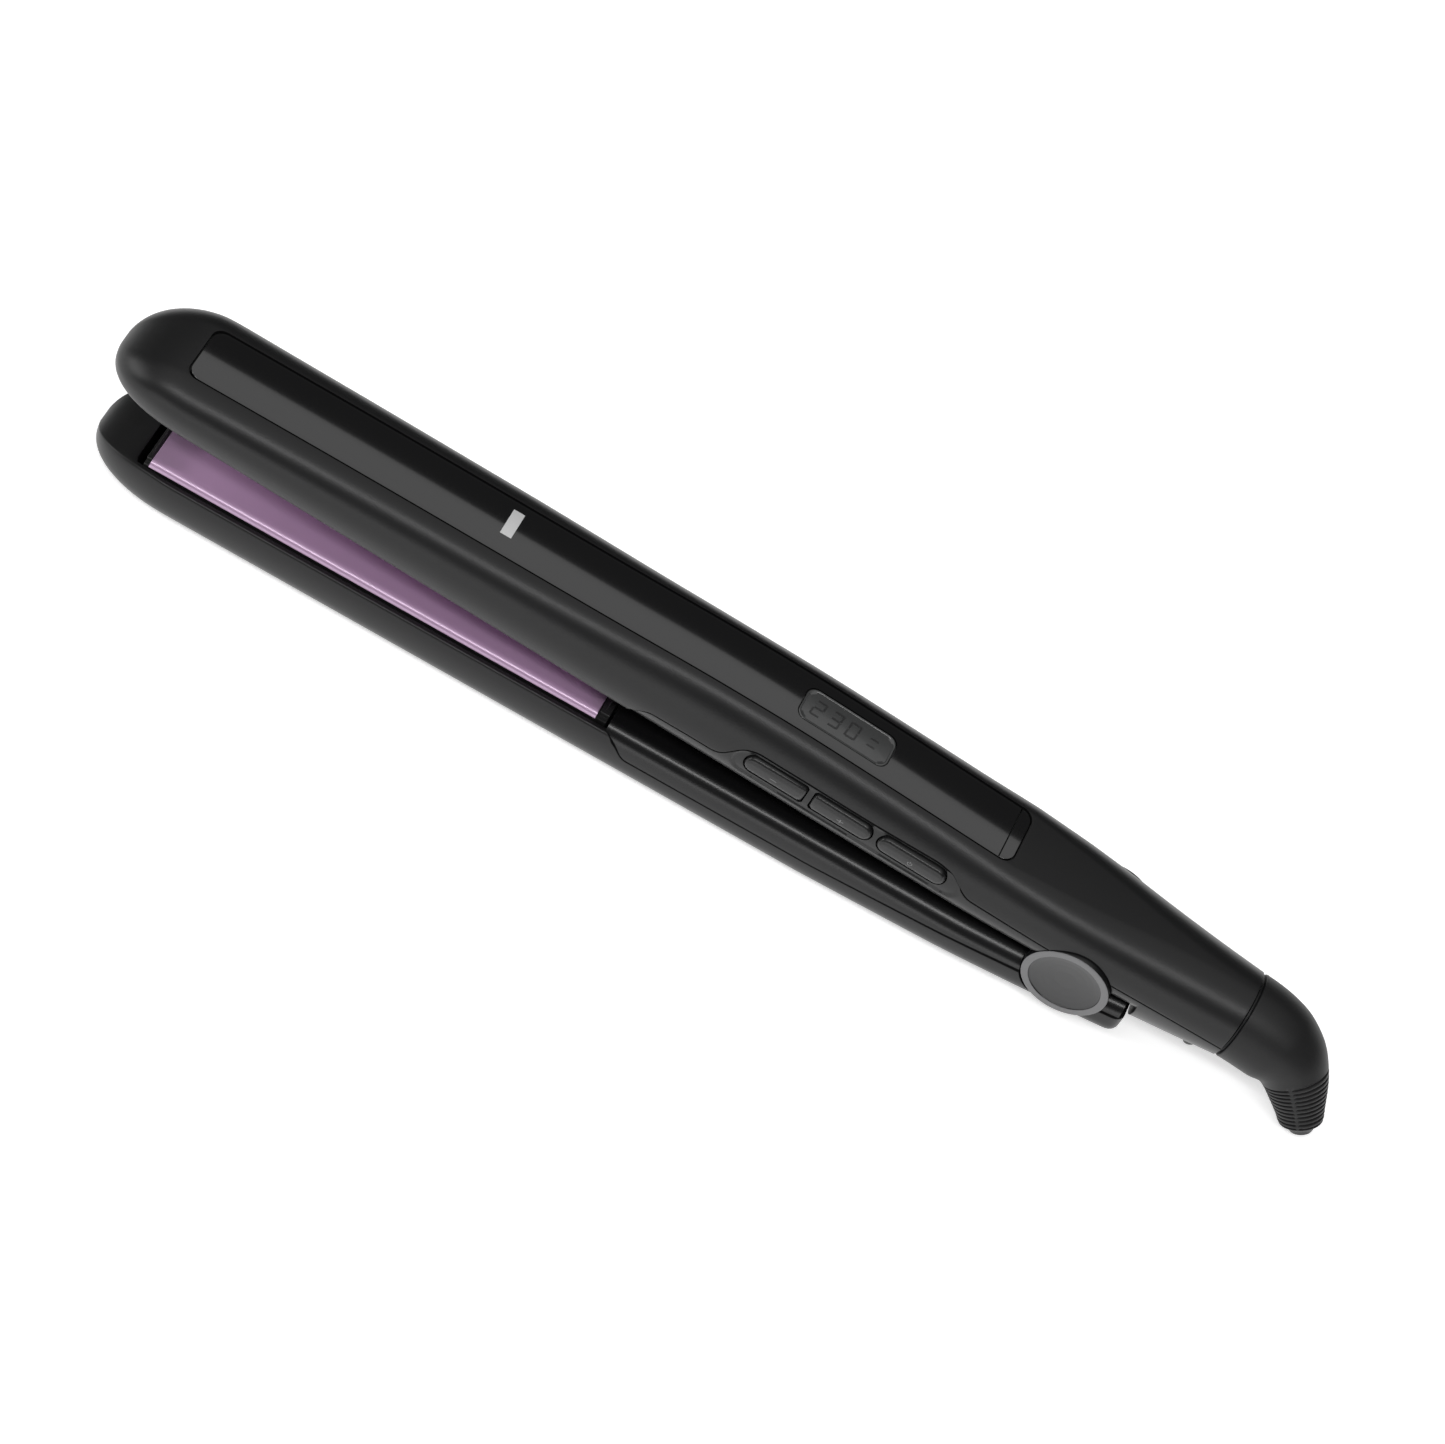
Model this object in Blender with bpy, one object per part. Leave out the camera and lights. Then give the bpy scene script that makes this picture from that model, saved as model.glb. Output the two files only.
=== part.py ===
"""Hair straightener (flat iron): two long arms on a sprung hinge, coated plates on floating carriers,
a glossy top strip with a display, three side buttons, a lock slider and a swivelling strain relief.

Lengths are in millimetres until a mesh is made. Arm coordinates: x runs along the arm with the hinge axis
at x = 0 and the tips towards -x; y runs across, with the buttons on the -y side; d is the distance from
the plane where the two plates meet, outwards. The lower arm lies on its outer face, and the upper arm,
which carries the tail, is open by OPEN_DEG.
"""

import math

import bmesh
import bpy
from mathutils import Matrix, Vector

# ---------------------------------------------------------------- driving dimensions (mm)
OPEN_DEG = 3.3  # opening angle at rest, held by the hinge spring against its stop
X_SHIFT = 88.85  # hinge axis to the middle of the whole length
Y_SHIFT = 0.1  # centre plane to the middle of the whole width
ARM_T = 15.7  # thickness of the lower arm from plate plane to outer face
HINGE_D = 0.0  # hinge axis above the plate plane
HALF_W = 15.0  # half width of an arm
# each nose: its tip, where it starts to round in plan and in side view, the depth at which it comes to its
# tip, and how blunt its two curves are (2 is an ellipse)
LOW_NOSE = (-241.3, -217.4, -223.6, 10.9, 2.27, 1.65)
UP_NOSE = (-242.85, -221.2, -226.5, 3.3, 2.39, 1.51)
PLATE_X0, PLATE_X1 = -225.5, -115.5  # 110 mm plates
PLATE_HALF = 12.5
PLATE_FACE = 0.15  # each face stops this far short of the meeting plane
PLATE_THICK = 1.6
CARRIER_X0, CARRIER_X1 = -226.9, -112.9
RIM_Y, RIM_D = 13.6, 2.4  # cover rim beside the plates
INNER_Y, INNER_D = 10.5, 1.0  # edge of the handle's inner face
WALL = 1.7
SEAM_GAP = 0.15
HINGE_PIN_R = 2.0
HINGE_BORE_R = 2.3
KNUCKLE_R, KNUCKLE_HALF = 5.4, 7.0
CHEEK_R, CHEEK_Y0, CHEEK_Y1 = 6.0, 8.3, 10.4
CAP_R, CAP_Y0, CAP_Y1 = 10.05, 11.3, 14.0
CAP_CLEAR_R = 10.4
WELL_Y0 = 10.9  # floor of the wells that the caps stand in
HEEL_X = 15.2
STEP_X = 15.9  # the tail's step face behind the heel
TAIL_X = 36.0
TAIL_R = 10.3
TAIL_AXIS_D = 5.1
PANEL_X0, PANEL_X1 = -226.6, -27.5
PANEL_HALF = 7.2
PANEL_THICK = 1.1
CROWN = 0.2  # rise of the strip along its middle
WINDOW_X0, WINDOW_X1, WINDOW_HALF = -79.8, -57.7, 4.3
BUTTON_D, BUTTON_HALF_H = 9.4, 2.4
BUTTONS = (  # name, x0, x1, round left end, round right end
    ("minus_button", -83.8, -69.1, True, False),
    ("plus_button", -67.2, -52.5, False, True),
    ("power_button", -50.8, -34.2, True, True),
)
BOOT_TURN_DEG = 22.5  # the boot is swivelled this far from straight down towards the button side


# ---------------------------------------------------------------- small mathematics
def smooth_table(points):
    """Monotone cubic curve through (x, value) points."""
    xs = [p[0] for p in points]
    vs = [p[1] for p in points]
    n = len(xs)
    steps = [(vs[i + 1] - vs[i]) / (xs[i + 1] - xs[i]) for i in range(n - 1)]
    slopes = [steps[0]]
    for i in range(1, n - 1):
        a, b = steps[i - 1], steps[i]
        slopes.append(0.0 if a * b <= 0 else 2 * a * b / (a + b))
    slopes.append(steps[-1])

    def value(x):
        if x <= xs[0]:
            return vs[0]
        if x >= xs[-1]:
            return vs[-1]
        i = max(k for k in range(n - 1) if xs[k] <= x)
        h = xs[i + 1] - xs[i]
        t = (x - xs[i]) / h
        return (
            (2 * t**3 - 3 * t**2 + 1) * vs[i]
            + (t**3 - 2 * t**2 + t) * h * slopes[i]
            + (-2 * t**3 + 3 * t**2) * vs[i + 1]
            + (t**3 - t**2) * h * slopes[i + 1]
        )

    return value


def linear_table(points):
    def value(x):
        if x <= points[0][0]:
            return points[0][1]
        for (xa, va), (xb, vb) in zip(points, points[1:]):
            if x <= xb:
                return va + (vb - va) * (x - xa) / (xb - xa)
        return points[-1][1]

    return value


def spread(a, b, count):
    return [a + (b - a) * i / (count - 1) for i in range(count)]


# ---------------------------------------------------------------- arm section
class Arm:
    """One arm's outer surface. At each x a half section runs through an angle: -90 is the edge of the
    inner face, 0 the widest line and +90 the edge of the flat outer face."""

    def __init__(self, nose, width, widest, thick, flat, power, rim_y, rim_d):
        self.tip, self.start, self.top, self.tip_d, self.plan, self.side = nose
        self.width, self.widest, self.thick = width, widest, thick
        self.flat, self.power = flat, power
        self.rim_y, self.rim_d = rim_y, rim_d

    def sizes(self, x):
        a, w, t = self.width(x), self.widest(x), self.thick(x)
        f, n = self.flat(x), self.power(x)
        ry, rd = self.rim_y(x), self.rim_d(x)
        if x < self.start:
            u = min(1.0, (self.start - x) / (self.start - self.tip + 0.15))
            k = (1 - u**self.plan) ** (1 / self.plan)
            a *= k
            f *= k
            ry *= k
        if x < self.top:
            v = min(1.0, (self.top - x) / (self.top - self.tip + 0.15))
            c = (1 - v**self.side) ** (1 / self.side)
            level = self.tip_d
            t = level + 0.6 + (t - level - 0.6) * c
            w = level + (w - level) * c
            rd = level - 0.9 - (level - 0.9 - rd) * c
        return a, w, max(t, w + 0.8), f, n, min(ry, a - 0.2), rd

    def point(self, x, phi, side_off=0.0, face_off=0.0, rim_off=(0.0, 0.0)):
        """(y, d) on the section at this angle, moved inwards by side_off and face_off."""
        a, w, t, f, n, ry, rd = self.sizes(x)
        r = math.radians(phi)
        if phi >= 0:
            e = 2.0 / n
            f = min(f, a - side_off - 0.3)
            y = f + (a - side_off - f) * max(0.0, math.cos(r)) ** e
            d = w + (t - face_off - w) * math.sin(r) ** e
            return y, d
        ry -= rim_off[0]
        y = ry + (a - side_off - ry) * math.cos(r)
        d = w - (w - rd - rim_off[1]) * math.sin(-r)
        return y, d

    def angle_of(self, x, depth):
        """The angle at which the section passes this depth."""
        low, high = -90.0, 90.0
        for _ in range(50):
            mid = (low + high) / 2
            if self.point(x, mid)[1] < depth:
                low = mid
            else:
                high = mid
        return (low + high) / 2


ARM_WIDTH_LOW = smooth_table([(-60, HALF_W), (-30, 14.9), (-13, 14.3), (0, 13.6), (9, 13.0), (HEEL_X, 12.4)])
ARM_WIDTH_UP = smooth_table([(-60, HALF_W), (-30, 14.9), (-13, 14.3), (0, 13.5), (13, 12.3), (25, 11.2), (TAIL_X, TAIL_R)])
LOW = Arm(
    nose=LOW_NOSE,
    width=ARM_WIDTH_LOW,
    widest=smooth_table([(-60, 7.2), (0, 6.4), (HEEL_X, 6.4)]),
    thick=smooth_table([(-62, ARM_T), (-41, 14.9), (-19, 13.9), (-4, 13.1), (10.6, 12.6), (HEEL_X, 12.3)]),
    flat=smooth_table([(-60, 5.0), (HEEL_X, 4.0)]),
    power=lambda x: 2.5,
    rim_y=lambda x: RIM_Y,
    rim_d=lambda x: RIM_D,
)
LOW_IN = Arm(
    nose=LOW_NOSE,
    width=ARM_WIDTH_LOW,
    widest=LOW.widest,
    thick=LOW.thick,
    flat=LOW.flat,
    power=LOW.power,
    rim_y=smooth_table([(-60, INNER_Y), (HEEL_X, 8.6)]),
    rim_d=lambda x: INNER_D,
)
UP_THICK = smooth_table(
    [(-226.6, 13.8), (-183, 15.75), (-124, 17.8), (-95, 18.95), (-80, 19.15), (-57.6, 18.6), (-27.5, 17.45), (-13, 16.95), (0, 16.5), (15, 16.05), (25, 15.75), (TAIL_X, TAIL_AXIS_D + TAIL_R)]
)
UP_FLAT = smooth_table([(-24, 7.3), (0, 4.2), (16, 1.6), (30, 0.4), (TAIL_X, 0.3)])
UP_POWER = smooth_table([(-150, 2.0), (-90, 1.7), (-40, 1.7), (-10, 2.0)])
UP_WIDEST = smooth_table([(-60, 7.2), (-13, 6.7), (10, 5.8), (TAIL_X, TAIL_AXIS_D)])
UP = Arm(
    nose=UP_NOSE,
    width=ARM_WIDTH_UP,
    widest=UP_WIDEST,
    thick=UP_THICK,
    flat=UP_FLAT,
    power=UP_POWER,
    rim_y=lambda x: RIM_Y,
    rim_d=lambda x: RIM_D,
)
# The tail's underside: flat above the heel, full round behind the step.
TAIL_FLAT_Y = smooth_table([(16, 4.0), (TAIL_X, 0.4)])  # half width of the flat along its underside


tail_bottom = smooth_table([(16, -6.6), (26, -6.2), (TAIL_X, TAIL_AXIS_D - TAIL_R - 0.1)])


UP_IN = Arm(
    nose=UP_NOSE,
    width=ARM_WIDTH_UP,
    widest=UP_WIDEST,
    thick=UP_THICK,
    flat=UP_FLAT,
    power=UP_POWER,
    rim_y=lambda x: smooth_table([(-60, INNER_Y), (HEEL_X, 8.6)])(x) if x < STEP_X else TAIL_FLAT_Y(x),
    rim_d=lambda x: INNER_D if x < STEP_X else tail_bottom(x),
)

LOW_SEAM = linear_table([(-112.6, 2.25), (-110.6, 3.2), (-108.4, 4.4), (-107.2, 5.8), (-106.2, 6.6), (-60, 6.6), (-8.7, 4.2), (HEEL_X, 4.0)])
UP_SEAM = linear_table(
    [(-112.6, 2.25), (-110.6, 3.4), (-108.6, 5.0), (-107.2, 6.3), (-106, 6.8), (-96, 7.1), (-90.4, 7.1), (-88.6, 8.0), (-87, 10.0), (-85.2, 11.8), (-82.4, 12.75), (-69.5, 12.7), (-53.7, 12.5), (-37.2, 12.6), (-33.6, 12.0), (-30.9, 10.2), (-28.2, 8.5), (-21.9, 8.2), (-12, 7.6), (7.5, 6.4), (34.5, 4.4), (TAIL_X, 4.3)]
)


# ---------------------------------------------------------------- objects
def clear_scene():
    for obj in list(bpy.data.objects):
        bpy.data.objects.remove(obj, do_unlink=True)
    for mesh in list(bpy.data.meshes):
        bpy.data.meshes.remove(mesh)
    for mat in list(bpy.data.materials):
        bpy.data.materials.remove(mat)


def material(name, color, roughness=0.5, metallic=0.0, alpha=1.0):
    mat = bpy.data.materials.new(name)
    mat.use_nodes = True
    shader = mat.node_tree.nodes["Principled BSDF"]
    shader.inputs["Base Color"].default_value = (*color, 1.0)
    shader.inputs["Roughness"].default_value = roughness
    shader.inputs["Metallic"].default_value = metallic
    mat.diffuse_color = (*color, 1.0)
    return mat


class Frame:
    """Places arm coordinates (x, y, d) in the world by way of an empty on the joint's axis."""

    def __init__(self, empty, sign):
        self.empty, self.sign = empty, sign

    def local(self, p):
        # An arm's empty stands on the hinge axis.
        return Vector((p[0], p[1], self.sign * p[2] - HINGE_D)) * 0.001


def add_empty(name, location=(0, 0, 0), rotation=(0, 0, 0), parent=None):
    empty = bpy.data.objects.new(name, None)
    empty.empty_display_size = 0.01
    empty.location = location
    empty.rotation_euler = rotation
    empty.parent = parent
    bpy.context.scene.collection.objects.link(empty)
    return empty


def finish_mesh(bm, name, mat, parent, smooth_deg=35.0, helper=False, recalc=True):
    if recalc:
        bmesh.ops.recalc_face_normals(bm, faces=bm.faces)
    mesh = bpy.data.meshes.new(name)
    bm.to_mesh(mesh)
    bm.free()
    mesh.shade_smooth()
    mesh.set_sharp_from_angle(angle=math.radians(smooth_deg))
    obj = bpy.data.objects.new(name, mesh)
    obj.parent = parent
    bpy.context.scene.collection.objects.link(obj)
    if mat is not None:
        mesh.materials.append(mat)
    if helper:
        obj.hide_render = True
        obj.display_type = "WIRE"
    return obj


def loft(rings, frame, name, mat, helper=False, smooth_deg=35.0, closed=False):
    """A solid through rings of equal length, each a closed outline in arm coordinates."""
    bm = bmesh.new()
    rows = [[bm.verts.new(frame.local(p)) for p in ring] for ring in rings]
    count = len(rings[0])
    pairs = list(zip(rows, rows[1:]))
    if closed:
        pairs.append((rows[-1], rows[0]))
    for a, b in pairs:
        for i in range(count):
            j = (i + 1) % count
            bm.faces.new((a[i], a[j], b[j], b[i]))
    if not closed:
        bm.faces.new(rows[0])
        bm.faces.new(rows[-1][::-1])
    return finish_mesh(bm, name, mat, frame.empty, smooth_deg, helper)


def box(name, frame, x, y, d, mat, helper=False, chamfer=0.0):
    """A box between the given pairs of x, y and d, with its long edges chamfered if asked."""
    (x0, x1), (y0, y1), (d0, d1) = x, y, d
    c = chamfer
    if c:
        outline = [(y0 + c, d0), (y1 - c, d0), (y1, d0 + c), (y1, d1 - c), (y1 - c, d1), (y0 + c, d1), (y0, d1 - c), (y0, d0 + c)]
    else:
        outline = [(y0, d0), (y1, d0), (y1, d1), (y0, d1)]
    return loft([[(x0, a, b) for a, b in outline], [(x1, a, b) for a, b in outline]], frame, name, mat, helper)


def turned(name, frame, axis, centre, profile, mat, sides=24, helper=False, smooth_deg=40.0):
    """A solid of revolution. The profile lists (along, radius) from end to end; radius 0 at an end closes
    it on the axis, and a first point equal in radius to the last, listed back inside, makes a tube."""
    bm = bmesh.new()
    rows = []
    for along, radius in profile:
        if radius <= 0:
            rows.append([bm.verts.new(frame.local(revolve(axis, centre, along, 0.0, 0.0)))])
            continue
        rows.append([bm.verts.new(frame.local(revolve(axis, centre, along, radius, 2 * math.pi * k / sides))) for k in range(sides)])
    open_ends = profile[0][1] > 0
    pairs = list(zip(rows, rows[1:]))
    if open_ends:
        pairs.append((rows[-1], rows[0]))
    for a, b in pairs:
        for i in range(sides):
            j = (i + 1) % sides
            corners = [a[i % len(a)], a[j % len(a)], b[j % len(b)], b[i % len(b)]]
            unique = []
            for v in corners:
                if v not in unique:
                    unique.append(v)
            if len(unique) > 2:
                bm.faces.new(unique)
    return finish_mesh(bm, name, mat, frame.empty, smooth_deg, helper)


def revolve(axis, centre, along, radius, angle):
    c, s = radius * math.cos(angle), radius * math.sin(angle)
    x, y, d = centre
    if axis == "x":
        return (x + along, y + c, d + s)
    if axis == "y":
        return (x + c, y + along, d + s)
    return (x + c, y + s, d + along)


def boolean(obj, cutter, operation="DIFFERENCE"):
    mod = obj.modifiers.new(cutter.name, "BOOLEAN")
    mod.operation = operation
    mod.solver = "EXACT"
    mod.object = cutter
    return mod


# ---------------------------------------------------------------- shells
def cover_ring(arm, x, seam, count, hollow, top_wall, side_wall=WALL):
    """The section of a cover: from its rim up one side, over the outer face and down the other, then back
    along the inside. Where it isn't hollow the inside lies on the rim's plane."""
    if x <= -112.5:
        start = -90.0
    else:
        start = arm.angle_of(x, seam(x) + SEAM_GAP)
    angles = spread(start, 90.0, count)
    outer = [arm.point(x, phi) for phi in angles]
    if hollow:
        inner = [arm.point(x, phi, side_wall, top_wall, (0.75, 0.0)) for phi in angles]
        if start > -89:
            inner[0] = (min(inner[0][0], outer[0][0] - 0.9), outer[0][1])
        inner_right = inner
        inner_left = [(-y, d) for y, d in inner]
    else:
        y0, d0 = outer[0]
        ys = spread(0.9 * y0, 0.02 * y0, count)
        inner_right = [(y, d0) for y in ys]
        inner_left = [(-y, d0) for y in ys]
    ring = [(x, y, d) for y, d in outer]
    ring += [(x, -y, d) for y, d in reversed(outer)]
    ring += [(x, y, d) for y, d in inner_left]
    ring += [(x, y, d) for y, d in reversed(inner_right)]
    return ring


def frame_ring(arm, x, seam, count, wall, inner_flat_d=None, side_wall=WALL):
    """The section of an inner frame: from its edge at the seam round the inner face to the other edge, and
    back along the inside."""
    end = arm.angle_of(x, seam(x) - SEAM_GAP)
    angles = spread(-90.0, end, count)
    outer = [arm.point(x, phi) for phi in angles]
    inner = [arm.point(x, phi, side_wall, 2.0, (0.6, wall)) for phi in angles]
    if inner_flat_d is not None:
        inner = [(y, max(d, inner_flat_d)) for y, d in inner]
    inner = [(min(y, oy - 0.6) if k else y, d) for k, ((y, d), (oy, od)) in enumerate(zip(inner, outer))]
    top = outer[-1][1]
    inner = [(max(y, 0.15), d) for y, d in inner]
    last = len(inner) - 1
    inner = [(y, min(d, top - 0.04 * (last - k))) for k, (y, d) in enumerate(inner)]
    inner[-1] = (inner[-1][0], top)
    ring = [(x, y, d) for y, d in outer]
    ring += [(x, y, d) for y, d in reversed(inner)]
    ring += [(x, -y, d) for y, d in inner]
    ring += [(x, -y, d) for y, d in reversed(outer)]
    return ring


# ---------------------------------------------------------------- the boot
def boot_centre(t):
    """Centre line of the strain relief: straight out of the tail, then bending; t runs 0 to 1."""
    # integrate the direction, which turns by the total bend
    steps = 60
    x = r = 0.0
    length = BOOT_LENGTH * t
    n = max(1, int(steps * t))
    for i in range(n):
        s = (i + 0.5) / n * length
        ang = math.radians(BOOT_BEND(s))
        x += math.cos(ang) * length / n
        r += math.sin(ang) * length / n
    ang = math.radians(BOOT_BEND(length))
    return x, r, ang


BOOT_LENGTH = 33.0
BOOT_BEND = smooth_table([(0, 0), (6, 7.5), (12, 20), (17, 41), (22, 50.5), (27, 53), (BOOT_LENGTH, 58)])
BOOT_RADIUS = smooth_table([(0, TAIL_R), (5, 10.15), (10, 9.75), (14, 8.8), (18, 7.7), (23, 6.6), (28, 5.4), (30.4, 4.9), (31.4, 3.6), (BOOT_LENGTH, 2.5)])


def main():
    clear_scene()
    black = material("soft_black_plastic", (0.018, 0.018, 0.019), 0.42)
    satin = material("satin_black_plastic", (0.022, 0.022, 0.023), 0.3)
    gloss = material("gloss_black_panel", (0.006, 0.006, 0.007), 0.08)
    rubber = material("black_rubber", (0.015, 0.015, 0.016), 0.6)
    purple = material("purple_coated_plate", (0.30, 0.17, 0.32), 0.25, 0.6)
    heat = material("dark_heat_resistant_plastic", (0.012, 0.012, 0.012), 0.5)
    cap_grey = material("grey_cap", (0.16, 0.16, 0.165), 0.35, 0.3)
    steel = material("steel", (0.55, 0.55, 0.56), 0.3, 1.0)
    ceramic = material("ceramic", (0.75, 0.73, 0.68), 0.6)
    lcd = material("display_grey", (0.16, 0.165, 0.165), 0.15)
    pcb = material("circuit_green", (0.03, 0.16, 0.06), 0.5)
    silicone = material("silicone", (0.55, 0.52, 0.5), 0.7)

    base = (X_SHIFT * 0.001, Y_SHIFT * 0.001, (ARM_T + HINGE_D) * 0.001)
    low_empty = add_empty("lower_arm_axis", base)
    up_empty = add_empty("upper_arm_axis", base, (0.0, math.radians(OPEN_DEG), 0.0))
    low = Frame(low_empty, -1)
    up = Frame(up_empty, 1)

    def nose(arm):
        return [arm.tip + (-228.9 - arm.tip) * k for k in (0.0, 0.02, 0.07, 0.15, 0.27, 0.44, 0.68, 1.0)]

    # ---------------- lower arm
    x_low = [-228.2, -222, -208, -160, -116, -112.6, -110.6, -108.4, -107.2, -106.2, -84, -60, -40, -22, -10, 0, 8, 12.2]
    rings = [cover_ring(LOW, x, LOW_SEAM, 9, False, WALL) for x in nose(LOW)]
    rings += [cover_ring(LOW, x, LOW_SEAM, 9, True, WALL) for x in x_low]
    # heel: a closed rounded end wall
    heel_ring = cover_ring(LOW, 12.6, LOW_SEAM, 9, False, WALL)
    rings.append(heel_ring)
    for x, k in ((14.2, 0.95), (HEEL_X, 0.86)):
        ring = cover_ring(LOW, x, LOW_SEAM, 9, False, WALL)
        mid = 8.6
        rings.append([(p[0], p[1] * k, mid + (p[2] - mid) * (k if p[2] > mid else 1.0)) for p in ring])
    lower_cover = loft(rings, low, "lower_cover", black)

    x_lin = [-112.2, -110.6, -108.4, -107.2, -106.0, -84, -60, -40, -22, -10, 0, 8, 14.2]
    rings = [frame_ring(LOW_IN, x, LOW_SEAM, 7, linear_table([(-112.2, 1.1), (-108, 1.5)])(x)) for x in x_lin]
    lower_frame = loft(rings, low, "lower_inner_frame", satin)
    # d runs downwards on this arm, so the hinge axis, above the plate plane, is at a negative d
    axis_low = (0.0, 0.0, -HINGE_D)
    knuckle = turned("knuckle_body", low, "y", axis_low, [(-KNUCKLE_HALF, 0), (-KNUCKLE_HALF, KNUCKLE_R), (KNUCKLE_HALF, KNUCKLE_R), (KNUCKLE_HALF, 0)], None, 24, True)
    boolean(lower_frame, knuckle, "UNION")
    bore = turned("knuckle_bore", low, "y", axis_low, [(-20, 0), (-20, HINGE_BORE_R), (20, HINGE_BORE_R), (20, 0)], None, 20, True)
    boolean(lower_frame, bore)
    chamber = turned("spring_chamber", low, "y", axis_low, [(2.3, 0), (2.3, 4.5), (7.2, 4.5), (7.2, 0)], None, 24, True)
    boolean(lower_frame, chamber)
    for side, sign in (("near", -1), ("far", 1)):
        y0, y1 = sorted((sign * 7.1, sign * 10.8))
        pocket = box(f"cheek_pocket_{side}", low, (-7.0, 7.0), (y0, y1), (-2.0, 7.0), None, True)
        boolean(lower_frame, pocket)
        y0, y1 = sorted((sign * WELL_Y0, sign * 20.0))
        well = turned(f"cap_well_low_{side}", low, "y", axis_low, [(y0, 0), (y0, CAP_CLEAR_R), (y1, CAP_CLEAR_R), (y1, 0)], None, 40, True)
        boolean(lower_frame, well)
        boolean(lower_cover, well)

    # carrier: a tray of heat-resistant plastic with a pocket for the heater
    def carrier(frame, name, depth):
        x0, x1, w = CARRIER_X0, CARRIER_X1, 11.9
        tray = loft(
            [[(x, y, d) for y, d in ((-w, 2.05), (w, 2.05), (w, depth - 1.5), (w - 2.0, depth), (-w + 2.0, depth), (-w, depth - 1.5))] for x in (x0, x1)],
            frame, name, heat)
        pocket = box(name + "_pocket", frame, (-214.0, -127.0), (-8.4, 8.4), (0.0, depth - 1.5), None, True)
        boolean(tray, pocket)
        return tray

    def plate(frame, name):
        f, t = PLATE_FACE, PLATE_FACE + PLATE_THICK
        r = 1.5
        outline = [(PLATE_HALF - r + r * math.sin(math.radians(a)), f + r - r * math.cos(math.radians(a))) for a in (0, 22.5, 45, 67.5, 90)]
        ring = [(y, d) for y, d in outline] + [(PLATE_HALF, t), (-PLATE_HALF, t)] + [(-y, d) for y, d in reversed(outline)]
        return loft([[(x, y, d) for y, d in ring] for x in (PLATE_X0, PLATE_X1)], frame, name, purple)

    def heater_set(frame, prefix, depth):
        box(prefix + "_heater", frame, (-208.0, -133.0), (-6.0, 6.0), (2.1, 4.0), ceramic)
        # spring clip: a thin strip with raised ends that presses the heater to the plate
        strip = []
        for x, z in ((-204, 4.3), (-198, 4.3), (-190, depth - 2.4), (-151, depth - 2.4), (-143, 4.3), (-137, 4.3)):
            strip.append([(x, -5.0, z), (x, 5.0, z), (x, 5.0, z + 0.5), (x, -5.0, z + 0.5)])
        loft(strip, frame, prefix + "_heater_clip", steel)

    def float_spring(frame, name, x, d0, d1):
        # a short conical coil drawn as a stepped sleeve
        turned(name, frame, "d", (x, 0.0, 0.0), [(d0, 1.6), (d0, 2.6), ((d0 + d1) / 2, 3.0), (d1, 3.4), (d1, 2.4), ((d0 + d1) / 2, 2.0)], steel, 14)

    carrier(low, "lower_plate_carrier", 8.0)
    plate(low, "lower_plate")
    heater_set(low, "lower", 8.0)
    float_spring(low, "lower_float_spring_front", -205.0, 8.3, 13.6)
    float_spring(low, "lower_float_spring_rear", -136.0, 8.3, 13.6)
    turned("thermal_fuse", low, "x", (-132.3, 0.0, 3.9), [(0, 0), (0, 1.5), (4.6, 1.5), (4.6, 0)], steel, 12)

    def screw_seat(target, frame, name, x, y, d, length):
        """Hole for a screw with a counterbore for its head."""
        hole = turned(name + "_hole", frame, "d", (x, y, 0.0), [(d - 6, 0), (d - 6, 2.5), (d + 1.4, 2.5), (d + 1.4, 1.4), (d + length + 0.5, 1.4), (d + length + 0.5, 0)], None, 16, True)
        boolean(target, hole)

    # screws through the inner frame, their heads sunk in it
    for name, x in (("lower_frame_screw_front", -101.5), ("lower_frame_screw_rear", -24.0)):
        screw_seat(lower_frame, low, name, x, 0.0, 0.4, 12.0)
        turned(name, low, "d", (x, 0.0, 0.0), [(1.15, 0), (1.15, 2.2), (1.7, 2.2), (1.8, 1.1), (11.5, 1.1), (11.5, 0)], steel, 14)

    # ---------------- hinge hardware, carried by the lower arm
    turned("hinge_pin", low, "y", axis_low, [(-11.0, 0), (-11.0, HINGE_PIN_R), (11.0, HINGE_PIN_R), (11.0, 0)], steel, 18)
    for side, sign in (("left", -1), ("right", 1)):
        a, b = sorted((sign * 7.3, sign * 8.0))
        turned(f"hinge_washer_{side}", low, "y", axis_low, [(a, 2.3), (a, 4.6), (b, 4.6), (b, 2.3)], steel, 20)
        profile = [(CAP_Y0, 0), (CAP_Y0, 9.6), (CAP_Y0 + 0.5, CAP_R), (CAP_Y1 - 0.35, CAP_R), (CAP_Y1, 9.75), (CAP_Y1, 8.3), (CAP_Y1 - 0.4, 7.8), (CAP_Y1 - 0.9, 5.0), (CAP_Y1 - 1.1, 2.2), (CAP_Y1 - 1.15, 0)]
        turned(f"hinge_cap_{side}", low, "y", axis_low, [(sign * along, radius) for along, radius in profile], cap_grey, 32)
    # torsion spring in the knuckle's chamber, four touching turns round the pin
    turns = [(2.8, 2.6)]
    for k in range(4):
        turns += [(2.8 + k, 3.5), (3.3 + k, 3.9), (3.75 + k, 3.5)]
    turns += [(6.9, 3.4), (6.9, 2.6)]
    turned("hinge_spring", low, "y", axis_low, turns, steel, 20)

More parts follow.
